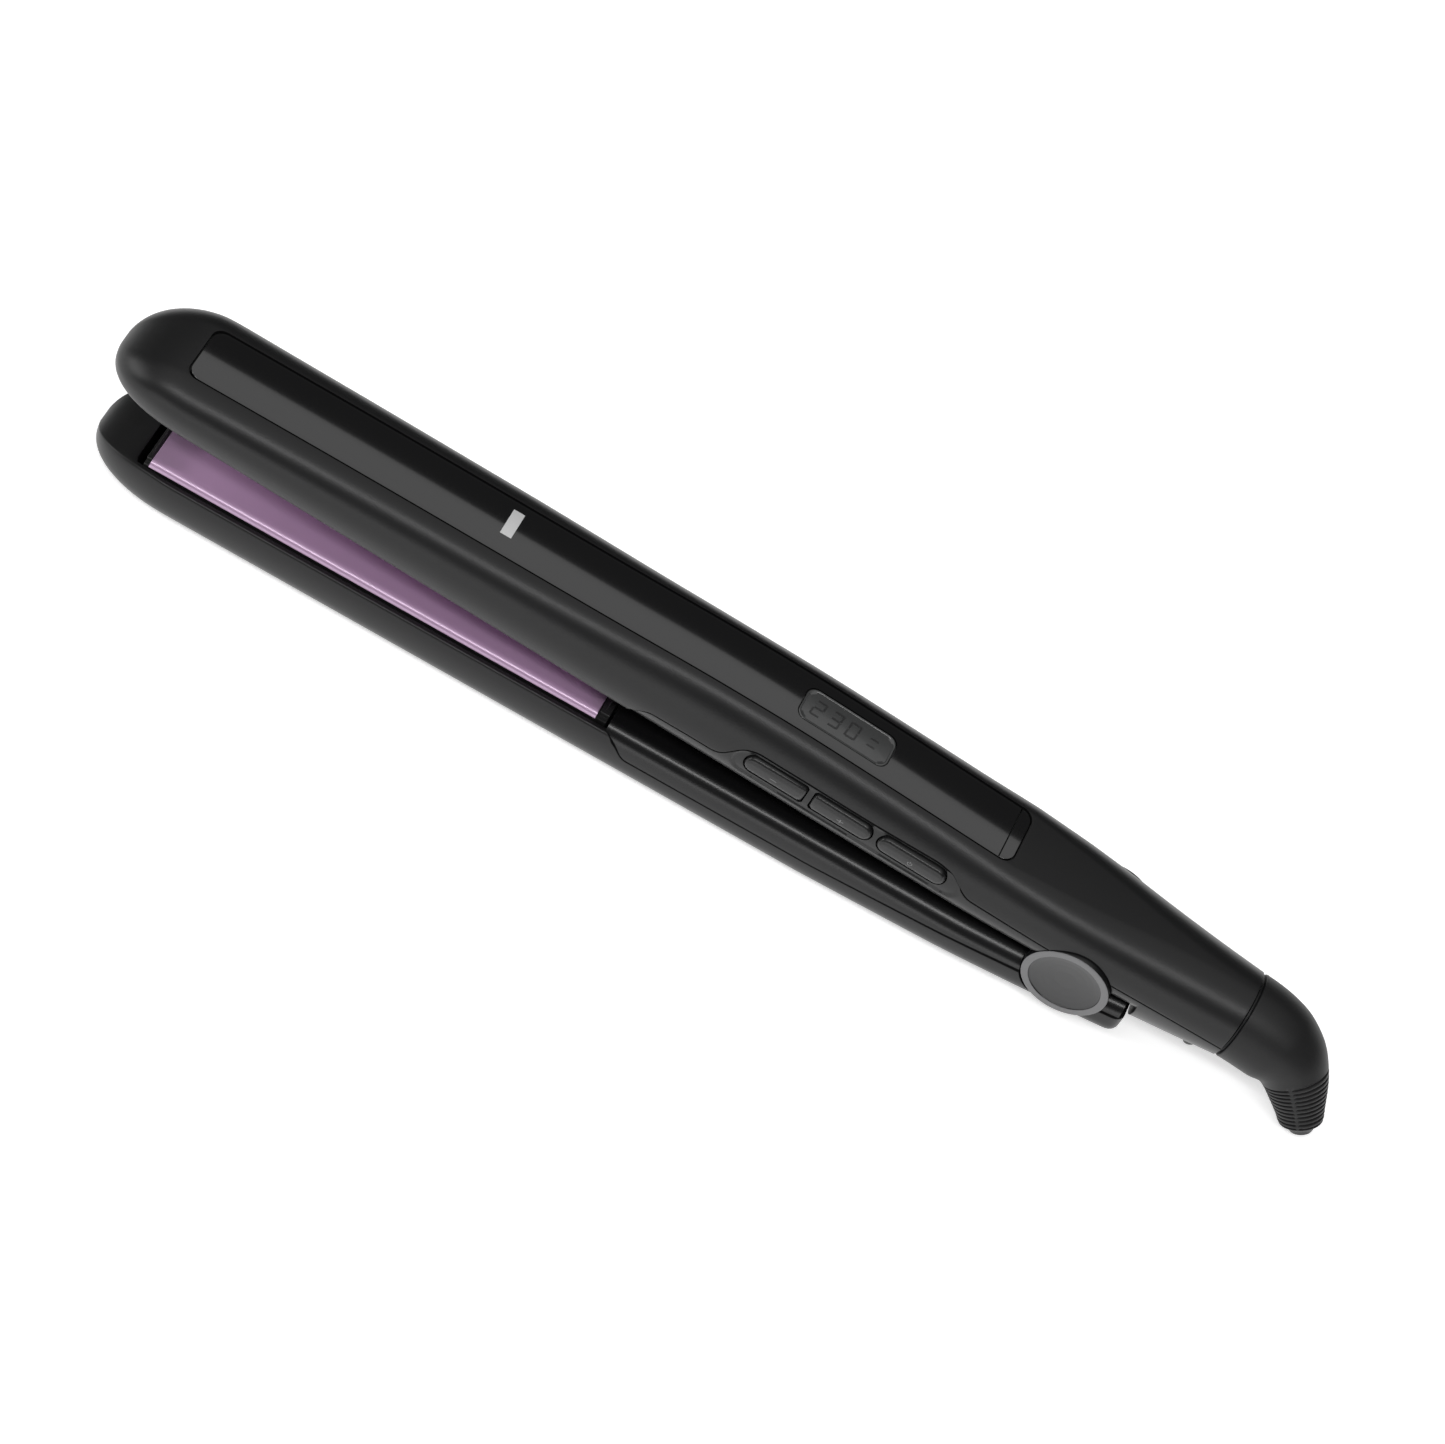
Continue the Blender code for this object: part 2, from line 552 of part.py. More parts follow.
    # ---------------- upper arm
    x_up = [-228.2, -222, -208, -183, -150, -124, -112.6, -110.6, -108.6, -107.2, -106.0, -96, -90.4, -88.6, -87.0, -85.2, -82.4, -69.5, -53.7, -37.2, -33.6, -30.9, -28.2, -21.9, -12, -4, 4, 12, 20, 28, 33.2]
    rings = [cover_ring(UP, x, UP_SEAM, 9, False, 3.0) for x in nose(UP)]
    top_wall = linear_table([(-30, 3.0), (-15, 1.9)])
    rings += [cover_ring(UP, x, UP_SEAM, 9, True, top_wall(x)) for x in x_up]
    rings.append(cover_ring(UP, 33.6, UP_SEAM, 9, False, 1.9))
    rings.append(cover_ring(UP, TAIL_X, UP_SEAM, 9, False, 1.9))
    upper_cover = loft(rings, up, "upper_cover", black)

    x_uin = [-112.2, -110.6, -108.6, -107.2, -106.0, -96, -90.4, -88.6, -87.0, -85.2, -82.4, -69.5, -53.7, -37.2, -33.6, -30.9, -28.2, -21.9, -12, -4, 4, 10, 15.7, 16.1, 17.4, 17.9, 24, 30, 33.2]
    rings = []
    for x in x_uin:
        wall = linear_table([(-112.2, 1.1), (-108, 1.5)])(x)
        flat = None
        if 15.9 < x < 17.6:
            flat = 2.6
        rings.append(frame_ring(UP_IN, x, UP_SEAM, 11, wall, flat))
    # solid end wall of the tail's lower half
    for x in (33.6, TAIL_X):
        ring = frame_ring(UP_IN, x, UP_SEAM, 11, 1.5)
        top = max(p[2] for p in ring)
        half = len(ring) // 4
        solid = []
        for k, p in enumerate(ring):
            if k < half or k >= 3 * half:
                solid.append(p)
            elif k < 2 * half:
                i = k - half
                solid.append((x, ring[half - 1][1] * (0.9 - 0.85 * i / (half - 1)), top))
            else:
                i = k - 2 * half
                solid.append((x, -ring[half - 1][1] * (0.05 + 0.85 * i / (half - 1)), top))
        rings.append(solid)
    upper_frame = loft(rings, up, "upper_inner_frame", satin)
    axis_up = (0.0, 0.0, HINGE_D)
    for side, sign in (("near", -1), ("far", 1)):
        y0, y1 = sorted((sign * CHEEK_Y0, sign * CHEEK_Y1))
        cheek = turned(f"cheek_{side}", up, "y", axis_up, [(y0, 0), (y0, CHEEK_R), (y1, CHEEK_R), (y1, 0)], None, 24, True)
        boolean(upper_frame, cheek, "UNION")
    knuckle_gap = box("knuckle_gap", up, (-8.2, 8.2), (-8.15, 8.15), (-8.0, 12.0), None, True)
    boolean(upper_frame, knuckle_gap)
    bore_up = turned("cheek_bore", up, "y", axis_up, [(-20, 0), (-20, HINGE_BORE_R), (20, HINGE_BORE_R), (20, 0)], None, 20, True)
    boolean(upper_frame, bore_up)
    for side, sign in (("near", -1), ("far", 1)):
        y0, y1 = sorted((sign * WELL_Y0, sign * 20.0))
        well = turned(f"cap_well_up_{side}", up, "y", axis_up, [(y0, 0), (y0, CAP_CLEAR_R), (y1, CAP_CLEAR_R), (y1, 0)], None, 40, True)
        boolean(upper_frame, well)
        boolean(upper_cover, well)

    # recess for the glossy strip and the opening for the display under it
    def strip_rings(half, d_in, d_out, xs, crown=0.0):
        """Sections of a strip; its outer face is crowned across by this much."""
        across = (1.0, 0.5, 0.0, -0.5, -1.0) if crown else (1.0, -1.0)
        rows = []
        for x in xs:
            t = UP_THICK(x)
            row = [(x, -half, t - d_in), (x, half, t - d_in)]
            row += [(x, half * k, t - d_out + crown * (1 - (half * k / PANEL_HALF) ** 2)) for k in across]
            rows.append(row)
        return rows

    strip_x = [PANEL_X0 - 0.35, -205, -183, -150, -124, -105, -90, -80, -70, -57.6, -42, PANEL_X1, -24.2]
    recess = loft(strip_rings(PANEL_HALF + 0.3, 1.5, -6.0, strip_x), up, "panel_recess", None, True)
    boolean(upper_cover, recess)
    opening = box("display_opening", up, (-81.5, -56.0), (-5.2, 5.2), (8.0, 25.0), None, True)
    boolean(upper_cover, opening)

    panel_x = [PANEL_X0, -205, -183, -150, -124, -105, -90, WINDOW_X0 - 0.3, -70, WINDOW_X1 + 0.3, -42, PANEL_X1]
    top_panel = loft(strip_rings(PANEL_HALF, 0.05 + PANEL_THICK, 0.1, panel_x, CROWN), up, "top_panel", gloss)
    window_hole = box("window_hole", up, (WINDOW_X0 - 0.3, WINDOW_X1 + 0.3), (-WINDOW_HALF - 0.3, WINDOW_HALF + 0.3), (8.0, 25.0), None, True)
    boolean(top_panel, window_hole)
    loft(strip_rings(WINDOW_HALF, 1.05, 0.12, [WINDOW_X0, -74, -68, WINDOW_X1], CROWN), up, "display_window", lcd)
    # rounded end piece behind the strip
    ends = []
    for x, half in ((PANEL_X1 + 0.3, PANEL_HALF), (-26.0, PANEL_HALF), (-25.2, PANEL_HALF - 0.5), (-24.7, PANEL_HALF - 1.4), (-24.5, PANEL_HALF - 2.2)):
        ends += strip_rings(half, 1.15, 0.1, [x], CROWN)
    loft(ends, up, "panel_end_insert", gloss)
    box("display_module", up, (-80.5, -57.0), (-4.8, 4.8), (13.2, 17.0), lcd)
    box("control_board", up, (-88.0, -29.0), (-6.6, -5.2), (4.0, 12.4), pcb)
    box("power_board", up, (-56.0, -14.0), (2.0, 9.4), (4.2, 5.8), pcb)

    # ---------------- side buttons: each stands 0.5 mm proud, with a flange behind the wall
    buttons = {}
    for name, x0, x1, round0, round1 in BUTTONS:
        outline = stadium(x0, x1, BUTTON_D, BUTTON_HALF_H, round0, round1)
        flange = stadium(x0 - 0.6, x1 + 0.6, BUTTON_D - 0.4, BUTTON_HALF_H + 0.2, round0, round1)
        hole = stadium(x0 - 0.35, x1 + 0.35, BUTTON_D, BUTTON_HALF_H + 0.35, round0, round1)
        cutter = extrude_y(name + "_hole", up, hole, -20.0, -10.0, None, True)
        boolean(upper_frame, cutter)
        button_axis = add_empty(name + "_axis", parent=up_empty)
        buttons[name] = layered_y(name, up, [(flange, -12.0), (flange, -12.35), (outline, -12.36), (outline, -14.9), (stadium(x0 + 0.35, x1 - 0.35, BUTTON_D, BUTTON_HALF_H - 0.4, round0, round1), -15.2)], satin)
        mid = (x0 + x1) / 2
        box("switch_" + name.split("_")[0], up, (mid - 3.0, mid + 3.0), (-11.2, -6.9), (BUTTON_D - 2.6, BUTTON_D + 2.6), heat)

    # ---------------- upper plate group
    carrier(up, "upper_plate_carrier", 7.4)
    plate(up, "upper_plate")
    heater_set(up, "upper", 7.4)
    float_spring(up, "upper_float_spring_front", -205.0, 7.7, 11.4)
    float_spring(up, "upper_float_spring_rear", -136.0, 7.7, 13.6)
    turned("thermistor", up, "x", (-132.0, 0.0, 3.6), [(0, 0), (0, 1.2), (4.0, 1.2), (4.0, 0)], ceramic, 12)
    for name, x in (("upper_frame_screw_front", -101.5), ("upper_frame_screw_rear", -24.0)):
        screw_seat(upper_frame, up, name, x, 0.0, 0.4, 12.0)
        turned(name, up, "d", (x, 0.0, 0.0), [(1.15, 0), (1.15, 2.2), (1.7, 2.2), (1.8, 1.1), (11.5, 1.1), (11.5, 0)], steel, 14)

    # ---------------- tail: swivel opening, core, retainer and boot
    neck = turned("neck_opening", up, "x", (0.0, 0.0, TAIL_AXIS_D), [(31.0, 0), (31.0, 7.0), (40.0, 7.0), (40.0, 0)], None, 28, True)
    boolean(upper_cover, neck)
    boolean(upper_frame, neck)
    turned("swivel_core", up, "x", (0.0, 0.0, TAIL_AXIS_D), [(27.4, 3.2), (27.4, 7.9), (29.4, 7.9), (29.4, 6.5), (39.9, 6.5), (39.9, 3.2)], heat, 24)
    turned("swivel_washer", up, "x", (0.0, 0.0, TAIL_AXIS_D), [(29.8, 6.9), (29.8, 8.0), (32.6, 8.0), (32.6, 6.9)], steel, 24)
    swivel = add_empty("swivel_axis", (0.0, 0.0, (TAIL_AXIS_D - HINGE_D) * 0.001), (math.radians(-BOOT_TURN_DEG), 0.0, 0.0), up_empty)
    boot(swivel, rubber)

    # ---------------- lock slider under the tail
    slot = box("lock_slot", up, (18.6, 26.4), (-2.7, 2.7), (-14.0, 1.0), None, True)
    boolean(upper_frame, slot)
    lock_rings = []
    for x, extra in ((21.4, 0.5), (22.2, 0.9), (29.5, 0.9), (30.1, 2.3), (31.0, 2.6), (31.9, 2.3), (32.5, 0.9), (33.6, 0.5)):
        lock_rings.append(lock_ring(x, 0.35, 0.35 + extra))
    lock = loft(lock_rings, up, "lock_slider", satin)
    tee = [(-2.3, -6.95), (2.3, -6.95), (2.3, -4.3), (3.6, -4.3), (3.6, -3.7), (-3.6, -3.7), (-3.6, -4.3), (-2.3, -4.3)]
    stem = loft([[(x, y, d) for y, d in tee] for x in (22.65, 25.95)], up, "lock_stem", None, True)
    boolean(lock, stem, "UNION")
    box("lock_detent_spring", up, (20.0, 26.0), (-2.0, 2.0), (-3.35, -3.0), steel)


def lock_ring(x, inside, outside):
    """The lock's pad at x: a band under the tail between these two distances from it."""
    a, w, _, _, _, ry, rd = UP_IN.sizes(x)

    def under(y, off):
        c = max(0.0, (y - ry) / (a - ry))
        return w - (w - rd + off) * math.sqrt(1 - c * c)

    half = [k * 5.6 / 4 for k in range(5)]
    ring = [(x, -y, under(y, inside)) for y in reversed(half)] + [(x, y, under(y, inside)) for y in half[1:]]
    ring += [(x, y, under(y, outside)) for y in reversed(half)] + [(x, -y, under(y, outside)) for y in half[1:]]
    return ring


def stadium(x0, x1, d, half, round0, round1, steps=4):
    """Outline in x and d, with each end half round or square with small corners."""
    points = []
    if round1:
        points += [(x1 - half + half * math.cos(a), d + half * math.sin(a)) for a in spread(-math.pi / 2, math.pi / 2, 2 * steps + 1)]
    else:
        points += [(x1 - 0.6, d - half), (x1, d - half + 0.6), (x1, d + half - 0.6), (x1 - 0.6, d + half)]
    if round0:
        points += [(x0 + half - half * math.cos(a), d + half * math.sin(a)) for a in spread(math.pi / 2, -math.pi / 2, 2 * steps + 1)]
    else:
        points += [(x0 + 0.6, d + half), (x0, d + half - 0.6), (x0, d - half + 0.6), (x0 + 0.6, d - half)]
    return points


def extrude_y(name, frame, outline, y0, y1, mat, helper=False):
    return loft([[(x, y, d) for x, d in outline] for y in (y0, y1)], frame, name, mat, helper)


def layered_y(name, frame, layers, mat):
    return loft([[(x, y, d) for x, d in outline] for outline, y in layers], frame, name, mat)


def boot(swivel, mat):
    """The rubber strain relief: outer skin along the bent centre line, a socket for the core and a cord bore."""
    sides = 20
    bm = bmesh.new()

    def ring(t, radius):
        x, r, ang = boot_centre(t)
        cx, cz = TAIL_X + 0.4 + x, -r
        rows = []
        for k in range(sides):
            a = 2 * math.pi * k / sides
            across, up = radius * math.cos(a), radius * math.sin(a)
            rows.append(bm.verts.new(Vector((cx + up * math.sin(ang), across, cz + up * math.cos(ang))) * 0.001))
        return rows

    outer_t = [0, 0.06, 0.13, 0.2, 0.27, 0.34, 0.41, 0.48, 0.55]
    ribs = [0.585 + 0.034 * k for k in range(10)]
    rows = [ring(t, BOOT_RADIUS(t * BOOT_LENGTH)) for t in outer_t]
    for k, t in enumerate(ribs):
        rows.append(ring(t, BOOT_RADIUS(t * BOOT_LENGTH) - (0.35 if k % 2 == 0 else 0.0)))
    rows += [ring(t, BOOT_RADIUS(t * BOOT_LENGTH)) for t in (0.925, 0.945, 0.98, 1.0)]
    # back inside: cord bore from the tip, then the socket for the core
    rows += [ring(t, 1.9) for t in (1.0, 0.9, 0.75, 0.6)]
    rows += [ring(t, 2.6) for t in (0.5, 0.4, 0.3, 0.2)]
    rows += [ring(t, 7.0) for t in (0.13, 0.0)]
    for a, b in zip(rows, rows[1:] + rows[:1]):
        for i in range(sides):
            j = (i + 1) % sides
            bm.faces.new((a[i], a[j], b[j], b[i]))
    return finish_mesh(bm, "swivel_boot", mat, swivel, 30.0)


main()
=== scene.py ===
"""Looks of a hair straightener: detailed surfaces, materials, floor, lights and camera.

Lengths are in millimetres in arm coordinates: x along the arm with the hinge axis at 0, y across, and d
outwards from the plane where the plates meet."""

import math

import bmesh
import bpy
from mathutils import Matrix, Vector


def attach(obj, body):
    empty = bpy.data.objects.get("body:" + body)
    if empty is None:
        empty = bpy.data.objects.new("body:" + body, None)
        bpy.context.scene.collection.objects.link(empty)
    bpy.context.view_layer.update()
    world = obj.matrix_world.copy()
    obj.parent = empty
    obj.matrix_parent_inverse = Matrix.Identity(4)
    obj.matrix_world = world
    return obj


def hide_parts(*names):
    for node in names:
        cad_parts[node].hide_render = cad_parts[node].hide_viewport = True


OPEN_DEG = 3.3  # opening angle at rest, held by the hinge spring against its stop
X_SHIFT = 88.85  # hinge axis to the middle of the whole length
Y_SHIFT = 0.1  # centre plane to the middle of the whole width
ARM_T = 15.7  # thickness of the lower arm from plate plane to outer face
HINGE_D = 0.0  # hinge axis above the plate plane
HALF_W = 15.0  # half width of an arm
# each nose: its tip, where it starts to round in plan and in side view, the depth at which it comes to its
# tip, and how blunt its two curves are (2 is an ellipse)
LOW_NOSE = (-241.3, -217.4, -223.6, 10.9, 2.27, 1.65)
UP_NOSE = (-242.85, -221.2, -226.5, 3.3, 2.39, 1.51)
PLATE_X0, PLATE_X1 = -225.5, -115.5  # 110 mm plates
PLATE_HALF = 12.5
PLATE_FACE = 0.15  # each face stops this far short of the meeting plane
PLATE_THICK = 1.6
CARRIER_X0, CARRIER_X1 = -226.9, -112.9
RIM_Y, RIM_D = 13.6, 2.4  # cover rim beside the plates
INNER_Y, INNER_D = 10.5, 1.0  # edge of the handle's inner face
WALL = 1.7
SEAM_GAP = 0.15
HINGE_PIN_R = 2.0
HINGE_BORE_R = 2.3
KNUCKLE_R, KNUCKLE_HALF = 5.4, 7.0
CHEEK_R, CHEEK_Y0, CHEEK_Y1 = 6.0, 8.3, 10.4
CAP_R, CAP_Y0, CAP_Y1 = 10.05, 11.3, 14.0
CAP_CLEAR_R = 10.4
WELL_Y0 = 10.9  # floor of the wells that the caps stand in
HEEL_X = 15.2
STEP_X = 15.9  # the tail's step face behind the heel
TAIL_X = 36.0
TAIL_R = 10.3
TAIL_AXIS_D = 5.1
PANEL_X0, PANEL_X1 = -226.6, -27.5
PANEL_HALF = 7.2
PANEL_THICK = 1.1
CROWN = 0.2  # rise of the strip along its middle
WINDOW_X0, WINDOW_X1, WINDOW_HALF = -79.8, -57.7, 4.3
BUTTON_D, BUTTON_HALF_H = 9.4, 2.4
BUTTONS = (  # name, x0, x1, round left end, round right end
    ("minus_button", -83.8, -69.1, True, False),
    ("plus_button", -67.2, -52.5, False, True),
    ("power_button", -50.8, -34.2, True, True),
)
BOOT_TURN_DEG = 22.5  # the boot is swivelled this far from straight down towards the button side


# ---------------------------------------------------------------- small mathematics
def smooth_table(points):
    """Monotone cubic curve through (x, value) points."""
    xs = [p[0] for p in points]
    vs = [p[1] for p in points]
    n = len(xs)
    steps = [(vs[i + 1] - vs[i]) / (xs[i + 1] - xs[i]) for i in range(n - 1)]
    slopes = [steps[0]]
    for i in range(1, n - 1):
        a, b = steps[i - 1], steps[i]
        slopes.append(0.0 if a * b <= 0 else 2 * a * b / (a + b))
    slopes.append(steps[-1])

    def value(x):
        if x <= xs[0]:
            return vs[0]
        if x >= xs[-1]:
            return vs[-1]
        i = max(k for k in range(n - 1) if xs[k] <= x)
        h = xs[i + 1] - xs[i]
        t = (x - xs[i]) / h
        return (
            (2 * t**3 - 3 * t**2 + 1) * vs[i]
            + (t**3 - 2 * t**2 + t) * h * slopes[i]
            + (-2 * t**3 + 3 * t**2) * vs[i + 1]
            + (t**3 - t**2) * h * slopes[i + 1]
        )

    return value


def linear_table(points):
    def value(x):
        if x <= points[0][0]:
            return points[0][1]
        for (xa, va), (xb, vb) in zip(points, points[1:]):
            if x <= xb:
                return va + (vb - va) * (x - xa) / (xb - xa)
        return points[-1][1]

    return value


def spread(a, b, count):
    return [a + (b - a) * i / (count - 1) for i in range(count)]


# ---------------------------------------------------------------- arm section
class Arm:
    """One arm's outer surface. At each x a half section runs through an angle: -90 is the edge of the
    inner face, 0 the widest line and +90 the edge of the flat outer face."""

    def __init__(self, nose, width, widest, thick, flat, power, rim_y, rim_d):
        self.tip, self.start, self.top, self.tip_d, self.plan, self.side = nose
        self.width, self.widest, self.thick = width, widest, thick
        self.flat, self.power = flat, power
        self.rim_y, self.rim_d = rim_y, rim_d

    def sizes(self, x):
        a, w, t = self.width(x), self.widest(x), self.thick(x)
        f, n = self.flat(x), self.power(x)
        ry, rd = self.rim_y(x), self.rim_d(x)
        if x < self.start:
            u = min(1.0, (self.start - x) / (self.start - self.tip + 0.15))
            k = (1 - u**self.plan) ** (1 / self.plan)
            a *= k
            f *= k
            ry *= k
        if x < self.top:
            v = min(1.0, (self.top - x) / (self.top - self.tip + 0.15))
            c = (1 - v**self.side) ** (1 / self.side)
            level = self.tip_d
            t = level + 0.6 + (t - level - 0.6) * c
            w = level + (w - level) * c
            rd = level - 0.9 - (level - 0.9 - rd) * c
        return a, w, max(t, w + 0.8), f, n, min(ry, a - 0.2), rd

    def point(self, x, phi, side_off=0.0, face_off=0.0, rim_off=(0.0, 0.0)):
        """(y, d) on the section at this angle, moved inwards by side_off and face_off."""
        a, w, t, f, n, ry, rd = self.sizes(x)
        r = math.radians(phi)
        if phi >= 0:
            e = 2.0 / n
            f = min(f, a - side_off - 0.3)
            y = f + (a - side_off - f) * max(0.0, math.cos(r)) ** e
            d = w + (t - face_off - w) * math.sin(r) ** e
            return y, d
        ry -= rim_off[0]
        y = ry + (a - side_off - ry) * math.cos(r)
        d = w - (w - rd - rim_off[1]) * math.sin(-r)
        return y, d

    def angle_of(self, x, depth):
        """The angle at which the section passes this depth."""
        low, high = -90.0, 90.0
        for _ in range(50):
            mid = (low + high) / 2
            if self.point(x, mid)[1] < depth:
                low = mid
            else:
                high = mid
        return (low + high) / 2


ARM_WIDTH_LOW = smooth_table([(-60, HALF_W), (-30, 14.9), (-13, 14.3), (0, 13.6), (9, 13.0), (HEEL_X, 12.4)])
ARM_WIDTH_UP = smooth_table([(-60, HALF_W), (-30, 14.9), (-13, 14.3), (0, 13.5), (13, 12.3), (25, 11.2), (TAIL_X, TAIL_R)])
LOW = Arm(
    nose=LOW_NOSE,
    width=ARM_WIDTH_LOW,
    widest=smooth_table([(-60, 7.2), (0, 6.4), (HEEL_X, 6.4)]),
    thick=smooth_table([(-62, ARM_T), (-41, 14.9), (-19, 13.9), (-4, 13.1), (10.6, 12.6), (HEEL_X, 12.3)]),
    flat=smooth_table([(-60, 5.0), (HEEL_X, 4.0)]),
    power=lambda x: 2.5,
    rim_y=lambda x: RIM_Y,
    rim_d=lambda x: RIM_D,
)
LOW_IN = Arm(
    nose=LOW_NOSE,
    width=ARM_WIDTH_LOW,
    widest=LOW.widest,
    thick=LOW.thick,
    flat=LOW.flat,
    power=LOW.power,
    rim_y=smooth_table([(-60, INNER_Y), (HEEL_X, 8.6)]),
    rim_d=lambda x: INNER_D,
)
UP_THICK = smooth_table(
    [(-226.6, 13.8), (-183, 15.75), (-124, 17.8), (-95, 18.95), (-80, 19.15), (-57.6, 18.6), (-27.5, 17.45), (-13, 16.95), (0, 16.5), (15, 16.05), (25, 15.75), (TAIL_X, TAIL_AXIS_D + TAIL_R)]
)
UP_FLAT = smooth_table([(-24, 7.3), (0, 4.2), (16, 1.6), (30, 0.4), (TAIL_X, 0.3)])
UP_POWER = smooth_table([(-150, 2.0), (-90, 1.7), (-40, 1.7), (-10, 2.0)])
UP_WIDEST = smooth_table([(-60, 7.2), (-13, 6.7), (10, 5.8), (TAIL_X, TAIL_AXIS_D)])
UP = Arm(
    nose=UP_NOSE,
    width=ARM_WIDTH_UP,
    widest=UP_WIDEST,
    thick=UP_THICK,
    flat=UP_FLAT,
    power=UP_POWER,
    rim_y=lambda x: RIM_Y,
    rim_d=lambda x: RIM_D,
)
# The tail's underside: flat above the heel, full round behind the step.
TAIL_FLAT_Y = smooth_table([(16, 4.0), (TAIL_X, 0.4)])  # half width of the flat along its underside


tail_bottom = smooth_table([(16, -6.6), (26, -6.2), (TAIL_X, TAIL_AXIS_D - TAIL_R - 0.1)])


UP_IN = Arm(
    nose=UP_NOSE,
    width=ARM_WIDTH_UP,
    widest=UP_WIDEST,
    thick=UP_THICK,
    flat=UP_FLAT,
    power=UP_POWER,
    rim_y=lambda x: smooth_table([(-60, INNER_Y), (HEEL_X, 8.6)])(x) if x < STEP_X else TAIL_FLAT_Y(x),
    rim_d=lambda x: INNER_D if x < STEP_X else tail_bottom(x),
)

LOW_SEAM = linear_table([(-112.6, 2.25), (-110.6, 3.2), (-108.4, 4.4), (-107.2, 5.8), (-106.2, 6.6), (-60, 6.6), (-8.7, 4.2), (HEEL_X, 4.0)])
UP_SEAM = linear_table(
    [(-112.6, 2.25), (-110.6, 3.4), (-108.6, 5.0), (-107.2, 6.3), (-106, 6.8), (-96, 7.1), (-90.4, 7.1), (-88.6, 8.0), (-87, 10.0), (-85.2, 11.8), (-82.4, 12.75), (-69.5, 12.7), (-53.7, 12.5), (-37.2, 12.6), (-33.6, 12.0), (-30.9, 10.2), (-28.2, 8.5), (-21.9, 8.2), (-12, 7.6), (7.5, 6.4), (34.5, 4.4), (TAIL_X, 4.3)]
)


def revolve(axis, centre, along, radius, angle):
    c, s = radius * math.cos(angle), radius * math.sin(angle)
    x, y, d = centre
    if axis == "x":
        return (x + along, y + c, d + s)
    if axis == "y":
        return (x + c, y + along, d + s)
    return (x + c, y + s, d + along)


def stadium(x0, x1, d, half, round0, round1, steps=4):
    """Outline in x and d, with each end half round or square with small corners."""
    points = []
    if round1:
        points += [(x1 - half + half * math.cos(a), d + half * math.sin(a)) for a in spread(-math.pi / 2, math.pi / 2, 2 * steps + 1)]
    else:
        points += [(x1 - 0.6, d - half), (x1, d - half + 0.6), (x1, d + half - 0.6), (x1 - 0.6, d + half)]
    if round0:
        points += [(x0 + half - half * math.cos(a), d + half * math.sin(a)) for a in spread(math.pi / 2, -math.pi / 2, 2 * steps + 1)]
    else:
        points += [(x0 + 0.6, d + half), (x0, d + half - 0.6), (x0, d - half + 0.6), (x0 + 0.6, d - half)]
    return points


def boot_centre(t):
    """Centre line of the strain relief: straight out of the tail, then bending; t runs 0 to 1."""
    # integrate the direction, which turns by the total bend
    steps = 60
    x = r = 0.0
    length = BOOT_LENGTH * t
    n = max(1, int(steps * t))
    for i in range(n):
        s = (i + 0.5) / n * length
        ang = math.radians(BOOT_BEND(s))
        x += math.cos(ang) * length / n
        r += math.sin(ang) * length / n
    ang = math.radians(BOOT_BEND(length))
    return x, r, ang


BOOT_LENGTH = 33.0
BOOT_BEND = smooth_table([(0, 0), (6, 7.5), (12, 20), (17, 41), (22, 50.5), (27, 53), (BOOT_LENGTH, 58)])
BOOT_RADIUS = smooth_table([(0, TAIL_R), (5, 10.15), (10, 9.75), (14, 8.8), (18, 7.7), (23, 6.6), (28, 5.4), (30.4, 4.9), (31.4, 3.6), (BOOT_LENGTH, 2.5)])


# ---------------------------------------------------------------- light
WORLD_LIGHT = 0.065
FLOOR_GLOW = 0.6
# name, place, aimed at, width, height, power (metres and watts)
LIGHTS = (
    ("overhead", (0.0, 0.25, 1.24), (0.0, 0.25, 0.0), 2.4, 1.38, 8.0),
    ("front_strip", (0.0, -0.68, 1.17), (0.0, 0.0, 0.02), 2.0, 0.2, 11.0),
    ("front_low", (0.0, -1.35, 0.17), (0.0, 0.0, 0.02), 2.4, 0.3, 5.0),
    ("left_end", (-1.1, -0.1, 0.35), (-0.1, 0.0, 0.02), 0.7, 0.4, 3.0),
)
BAR_X0, BAR_X1, BAR_Y0, BAR_Y1 = -153.1, -150.4, -2.4, 4.9

# ---------------------------------------------------------------- seams, drawn smooth
def dense_seam(table, blend=0.55):
    """The seam with its corners eased: an average over a short stretch."""
    offsets = [-1.0, -0.75, -0.5, -0.25, 0.0, 0.25, 0.5, 0.75, 1.0]
    weights = [0.3, 0.6, 0.85, 1.0, 1.05, 1.0, 0.85, 0.6, 0.3]
    total = sum(weights)
    reach = blend * 2.4

    def value(x):
        return sum(w * table(x + o * reach) for o, w in zip(offsets, weights)) / total

    return value


SEAM_V = 0.2  # half of the gap between a cover and its inner frame
LOW_SEAM_V = dense_seam(LOW_SEAM)
UP_SEAM_V = dense_seam(UP_SEAM)


def merged(*lists, least=0.02):
    out = []
    for v in sorted(v for one in lists for v in one):
        if not out or v - out[-1] > least:
            out.append(v)
    return out


def steps_between(a, b, step):
    n = max(1, int(math.ceil((b - a) / step)))
    return [a + (b - a) * i / n for i in range(n + 1)]


def nose_stations(arm, end, count=30):
    return [arm.tip + (end - arm.tip) * (i / count) ** 1.9 for i in range(count)]


